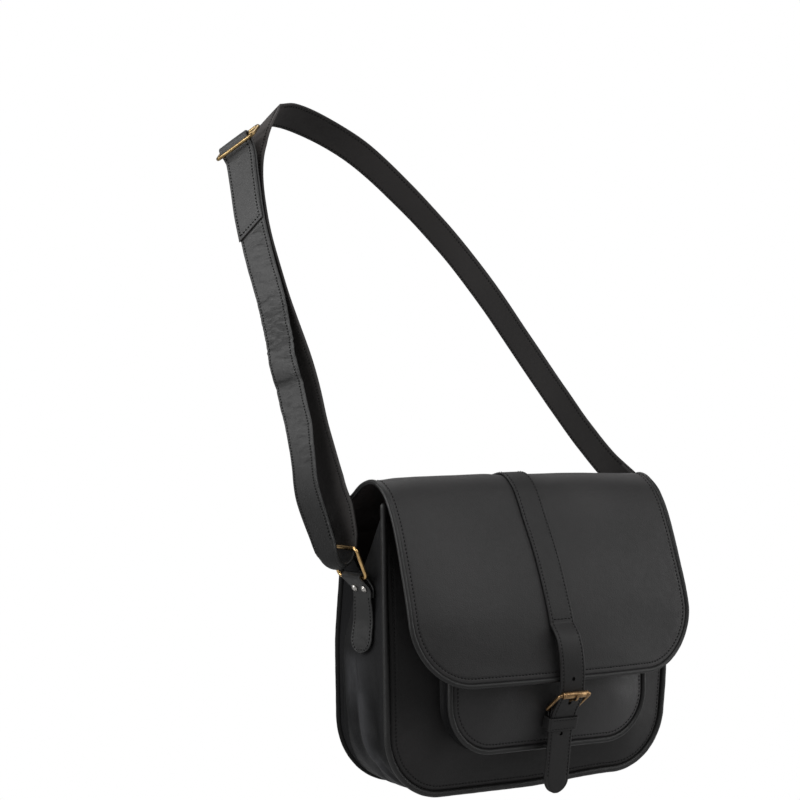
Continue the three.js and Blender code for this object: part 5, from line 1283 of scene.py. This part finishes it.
def shoulder_strap_line(step=2.2):
    layer = STRAP_THICK / 2
    back, back_side = stretch(BACK_RUN, step)
    loop_radius = RING_WIRE + 2 * GAP + layer
    far = np.linalg.norm(back - back[0], axis=1)
    spread = loop_radius + (LAYER_STEP / 2 - loop_radius) * np.clip(far / 22, 0, 1)
    main = back + back_side * (spread * np.clip((170 - far) / 60, 0, 1))[:, None]
    sewn = (np.arange(len(far)) > 0) & (far < 64)
    end_points, end_side = (back - back_side * spread[:, None])[sewn][::-1], -back_side[sewn][::-1]
    out = unit(BACK_RUN[0, 3:])
    ring_points, ring_side = turn(vec(RING_HEAD[0], RING_Y, RING_HEAD[1]), -out, square_to(out, vec(0, 0, -1)), loop_radius, 14, 1)
    chest, chest_side = stretch(np.vstack([BACK_RUN[-1:], CHEST_RUN]), step)
    slack, slack_side = stretch(np.vstack([CHEST_RUN[-1:], SLACK_TURN, FRONT_FALL[:1]]), 1.6)
    radius = SLIDER_BAR + SLIDER_SLACK + layer
    turn_at = SLIDER_AT - SLIDER_ALONG * SLIDER_OFFSET
    approach = np.concatenate([turn_at - SLIDER_UP * 18 - SLIDER_OUT * 2, -0.6 * SLIDER_OUT + 0.4 * unit(FRONT_FALL[-1, 3:])])
    inner = np.concatenate([turn_at - SLIDER_OUT * radius, -SLIDER_OUT])
    front, front_side = stretch(np.vstack([FRONT_FALL, approach, inner]), 0.9)
    over, over_side = turn(turn_at, -SLIDER_OUT, SLIDER_UP, radius, 14, 1)
    gone = run_of(front[::-1])
    by = 2 * radius + (LAYER_STEP + 0.4 - 2 * radius) * np.clip(gone / 14, 0, 1)
    end = (front[::-1] - front_side[::-1] * by[:, None])[1:]
    last = gone[1:] < STRAP_END_RUN + 3
    parts = [
        ("sewn", end_points, end_side), ("ring", ring_points, ring_side), ("back", main[1:], back_side[1:]),
        ("chest", chest[1:], chest_side[1:]), ("slack", slack[1:], slack_side[1:]), ("front", front[1:], front_side[1:]),
        ("over", over[1:], over_side[1:]), ("end", end[last], -front_side[::-1][1:][last]),
    ]
    names = np.concatenate([[part] * len(points) for part, points, _ in parts])
    return np.vstack([p for _, p, _ in parts]), np.vstack([s for _, _, s in parts]), names


# Wide folds of the strap's outer layer: height, outwards, spread, slant.
STRAP_FOLDS = [
    (512, -0.25, 5, 0.15), (486, 0.3, 6, 0.2), (459, -0.3, 5, 0.1), (436, 0.3, 6, 0.15), (420, -0.3, 4, 0.2),
    (356, 0.3, 6, 0.2), (340, -0.3, 6, 0.15), (322, 0.3, 6, 0.2), (300, -0.3, 7, 0.2), (548, 0.2, 6, 0.2)]
# The bulge in it: heights of its upper end, ridge and lower end, with slants.
STRAP_BULGE = ((409, 0.36), (394, 0.3), (375, 0.24), 2.6)


def strap_wrinkles(count=420):
    """Short fine wrinkles: height, place across, half length, depth, spread, slant."""
    picks = np.random.RandomState(12)
    height = np.where(picks.rand(count) < 0.55, picks.normal(428, 16, count), picks.uniform(300, 560, count))
    return np.stack([height, picks.uniform(-15, 15, count), picks.uniform(3, 11, count),
                     picks.uniform(0.14, 0.42, count) * np.where(picks.rand(count) < 0.75, -1, 1),
                     picks.uniform(0.75, 1.15, count), picks.uniform(-0.08, 0.3, count)], 1)


STRAP_SEAM = 3.5


def make_shoulder_strap():
    points, sides, names = shoulder_strap_line()
    along = tangents(points)
    face = square_to(along, sides)
    across = np.cross(along, face)
    widths = np.full(len(points), STRAP_WIDTH)
    uneven = Waves(21, 60)
    outer = np.convolve((names == "front").astype(float), np.ones(9) / 9, "same")
    ramped = np.convolve(np.isin(names, ("front", "back", "chest")).astype(float), np.ones(9) / 9, "same")
    wrinkles = strap_wrinkles()

    def creased(index, a):
        """Fine wrinkles of the outer layer, and the painted highlight and shade on its bulge."""
        z = points[index, 2][:, None] + across[index, 2][:, None] * a
        fine = 0 * a
        for height, place, reach, far, spread, slant in wrinkles:
            near = np.abs(points[index, 2] - height) < 24
            line = z[near] + slant * a[near] + 0.5 * np.sin(a[near] / 2.6 + height)
            fine[near] += far * bell(line, height, spread) * bell(a[near], place, reach)
        (top, s_top), (ridge, s_ridge), (foot, s_foot), high = STRAP_BULGE
        above, middle, below = z + s_top * a - top, z + s_ridge * a - ridge, z + s_foot * a - foot
        bulge = high * smoothstep(-above, -3, 13) * (1 - 0.45 * np.clip(np.abs(a) / 18, 0, 1) ** 3) * smoothstep(below, -1, 7) * (0.55 + 0.45 * smoothstep(below, 0, 30))
        bulge = bulge + 0.4 * bell(above, 0.5, 1.3) - 0.6 * bell(below, -1.5, 1.6) - 0.3 * bell(middle, 0, 0.9)
        # Painted highlight along the bulge's upper end, painted shade along its lower end.
        painted_shading = 0.4 * bell(above, -4, 4) - 0.6 * bell(below, 3.5, 3.5) - 0.3 * bell(below, 10, 6)
        return fine, bulge, painted_shading

    def wave(index, a):
        index = index[:, 0]
        z = points[index, 2][:, None] + across[index, 2][:, None] * a
        spot = np.stack([points[index, 0][:, None] + a * 0.8, points[index, 1][:, None] + 0 * a, z], -1)
        rise = 0.18 * uneven(spot) * ramped[index][:, None]
        # The outer layer shows its other side, so outwards is down there.
        fine, bulge, _ = creased(index, a)
        out = fine + bulge
        for height, far, spread, slant in STRAP_FOLDS:
            out = out + far * bell(z + slant * a, height, spread)
        return rise - outer[index][:, None] * out

    skews = np.zeros(len(points))
    tail = names == "end"
    gone = np.cumsum(tail) / max(1, tail.sum())
    skews = np.where(tail, STRAP_END_SKEW * smoothstep(gone, 0.55, 1.0), 0)
    # The turned-over end is pared down to its cut.
    thick = STRAP_THICK - np.where(tail, 1.2 * smoothstep(gone, 0.72, 1.0), 0)
    points = points - face * ((STRAP_THICK - thick) / 2)[:, None]
    sections = strap_sections(points, sides, widths, thick, wave, skews, inner=17, groove=STRAP_SEAM, both=True)[0]
    # The edges curl up where the strap turns at the ring.
    middle = np.where(names == "slack")[0].mean()
    run = run_of(points)
    off = np.abs(run - np.interp(middle, np.arange(len(run)), run))
    count = sections.shape[1]
    reach = np.einsum("ijk,ik->ij", sections - points[:, None], across) / (STRAP_WIDTH / 2)
    sections = sections + vec(0, 0, 1) * (np.exp(-(off / 26) ** 2)[:, None] * (7.5 * np.clip(reach, 0, 1) ** 2.4 + 5 * np.clip(-reach, 0, 1) ** 2.4))[..., None]
    # The ring, sewn, back and chest stretches take the shaded copy of the strap leather: painted shade.
    plain = np.isin(names, ("sewn", "ring", "back", "chest")).astype(int)
    mesh = sweep(sections)
    kinds = np.concatenate([np.repeat(plain[:-1], count), np.full(len(mesh[1]) - count * (len(points) - 1), plain[0])])
    # Painted light and shade on the outer layer: lighter on wrinkle ridges and around the wrinkled band, darker in
    # wrinkle hollows, and darker towards the bottom.
    fine, _, painted_shading = creased(np.arange(len(points)), reach * STRAP_WIDTH / 2)
    painted_shading = 0.76 + (0.06 + 0.16 * bell(sections[..., 2], 425, 18) + 0.75 * np.clip(fine, -0.6, 0.35) + painted_shading) * outer[:, None]
    wear_and_painted_light = smoothstep(sections[..., 2], 254, 342) * np.clip(painted_shading, 0, 1) * (1 - plain)[:, None]
    # Painted light on the shaded stretches: lighter near the slider, a little lighter along the chest stretch and up
    # the back stretch.
    near = np.linalg.norm(sections - (SLIDER_AT + vec(22, -4, 14)), axis=-1)
    carried = 0.165 * np.where((names == "chest")[:, None], 1, smoothstep(sections[..., 2], 430, 610))
    wear_and_painted_light = np.where(plain[:, None] == 1, np.maximum(1 - smoothstep(near, 22, 52), carried), wear_and_painted_light)
    add("shoulder_strap_leather", mesh, [LEATHER_STRAP, STRAP_SHADED], "shoulder_strap", kinds=kinds, sharp=50, marks={"wear_and_painted_light": wear_and_painted_light.ravel()})
    rows = []
    for part in ("back", "chest", "front", "end"):
        use = np.where(names == part)[0]
        for sign in (-1, 1):
            for up in (0.8, -0.8):
                if part == "end" and up < 0:
                    continue
                path, normal = strap_line(points, sides, widths, thick, STRAP_SEAM, sign, wave, up)
                path = path + along * (skews * sign * (1 - STRAP_SEAM / 18))[:, None]
                rows.append(stitches(path[use[1:-3]], normal[use[1:-3]], 3.5, 0.68, 0.68))
    # Slanted row that holds the turned-over end.
    i = int(np.argmin(np.abs(run_of(points[tail][::-1]) - 3.2)))
    i = np.where(tail)[0][::-1][i]
    a = np.linspace(-14.2, 14.2, 14)[:, None]
    path = points[i] + across[i] * a + face[i] * (thick[i] / 2) + along[i] * (skews[-1] * a / 18)
    rows.append(stitches(path, np.broadcast_to(face[i], path.shape), 3.4, 0.68, 0.68))
    add("shoulder_strap_stitching", joined(*rows), THREAD)


def make_slider():
    up = SLIDER_UP * SLIDER_REACH - SLIDER_OUT * SLIDER_TILT
    half = np.linalg.norm(up)
    up = unit(up)
    normal = np.cross(SLIDER_ALONG, up)
    line = rounded_loop(SLIDER_AT, SLIDER_ALONG, up, SLIDER_HALF, half, SLIDER_BEND)
    wire = rod(line, normal, SLIDER_WIRE, 20, closed=True)
    ends = SLIDER_AT + SLIDER_ALONG * (np.linspace(-1, 1, 24) * SLIDER_HALF)[:, None]
    add("strap_slider_frame", joined(wire, rod(ends, normal, SLIDER_BAR, 18, domed=False)), BRASS_RUBBED, "strap_slider")


make_shoulder_strap()
make_slider()

# ------------------------------------------------------------- floor, light, camera


def make_floor():
    """Round pale floor, well below the hanging bag."""
    z, rings, sides = -1.45, (0.8, 1.6, 2.4, 3.2), 64
    angle = 2 * math.pi * np.arange(sides) / sides
    points = [(0, -0.2, z)] + [(r * math.cos(t), r * math.sin(t) - 0.2, z) for r in rings for t in angle]
    faces = [(0, 1 + k, 1 + (k + 1) % sides) for k in range(sides)]
    for ring in range(len(rings) - 1):
        base = 1 + ring * sides
        faces += [(base + k, base + sides + k, base + sides + (k + 1) % sides, base + (k + 1) % sides) for k in range(sides)]
    data = bpy.data.meshes.new("floor")
    data.from_pydata(points, [], faces)
    material, tree, bsdf, coord = start("floor_pale")
    tree.links.new(ramp(tree, noise(tree, coord, 3, 3, 0.5), [(0.3, 0.56), (0.7, 0.6)]), bsdf.inputs["Base Color"])
    bsdf.inputs["Roughness"].default_value = 0.9
    bsdf.inputs["Specular IOR Level"].default_value = 0.1
    data.materials.append(material)
    floor = bpy.data.objects.new("floor", data)
    bpy.context.scene.collection.objects.link(floor)


def make_light(name, place, aim, size, watts, spread=180):
    data = bpy.data.lights.new(name, "AREA")
    data.spread = math.radians(spread)
    data.shape, data.size, data.size_y, data.energy = "RECTANGLE", size[0], size[1], watts
    lamp = bpy.data.objects.new(name, data)
    back = unit(vec(*place) - vec(*aim))
    right = unit(np.cross(vec(0, 0, 1), back))
    up = np.cross(back, right)
    lamp.matrix_world = Matrix([(*row, p) for row, p in zip(np.stack([right, up, back], 1).tolist(), place)] + [(0, 0, 0, 1)])
    bpy.context.scene.collection.objects.link(lamp)


def make_world():
    """Even grey studio with a white backdrop behind the bag."""
    world = bpy.data.worlds.new("studio")
    world.use_nodes = True
    tree = world.node_tree
    back = next(n for n in tree.nodes if n.type == "BACKGROUND")
    coord = tree.nodes.new("ShaderNodeTexCoord")
    facing = tree.nodes.new("ShaderNodeVectorMath")
    facing.operation = "DOT_PRODUCT"
    facing.inputs[1].default_value = (0.554, 0.832, -0.03)
    tree.links.new(coord.outputs["Generated"], facing.inputs[0])
    shade = ramp(tree, facing.outputs["Value"], [(0.93, WORLD_DIM), (0.972, 1.0)])
    tree.links.new(shade, back.inputs["Color"])
    back.inputs["Strength"].default_value = 1.0
    bpy.context.scene.world = world


def make_camera():
    data = bpy.data.cameras.new("photo_view")
    data.sensor_width, data.lens = 36.0, 128.97
    data.clip_start, data.clip_end = 0.05, 100
    camera = bpy.data.objects.new("photo_view", data)
    right = (0.83225332, -0.55435652, -0.00657742)
    up = (0.02051615, 0.01894048, 0.9996101)
    back = (-0.5540158, -0.83206376, 0.02713654)
    place = (-1.5038, -2.4798, -0.2087)
    camera.matrix_world = Matrix([(right[k], up[k], back[k], place[k]) for k in range(3)] + [(0, 0, 0, 1)])
    bpy.context.scene.collection.objects.link(camera)
    bpy.context.scene.camera = camera


WORLD_DIM = 0.28

make_floor()
make_light("soft_top", (0.6, -2.3, 1.5), (0, -0.3, -0.4), (2.4, 2.0), 26)
make_light("soft_left", (-2.6, -0.3, 0.7), (0, -0.1, -0.2), (1.4, 2.2), 42)
make_light("soft_right", (2.5, -1.4, 0.0), (0, -0.3, -0.4), (1.4, 2.2), 16.5)
make_light("soft_over", (0.3, 0.5, 1.5), (0, -0.3, -0.35), (1.4, 0.9), 14)
make_light("soft_strap", (-1.9, 0.75, 0.4), (-0.07, -0.1, -0.12), (0.6, 0.5), 0.55, 40)
make_world()
make_camera()
bpy.context.scene.view_settings.view_transform = "Standard"
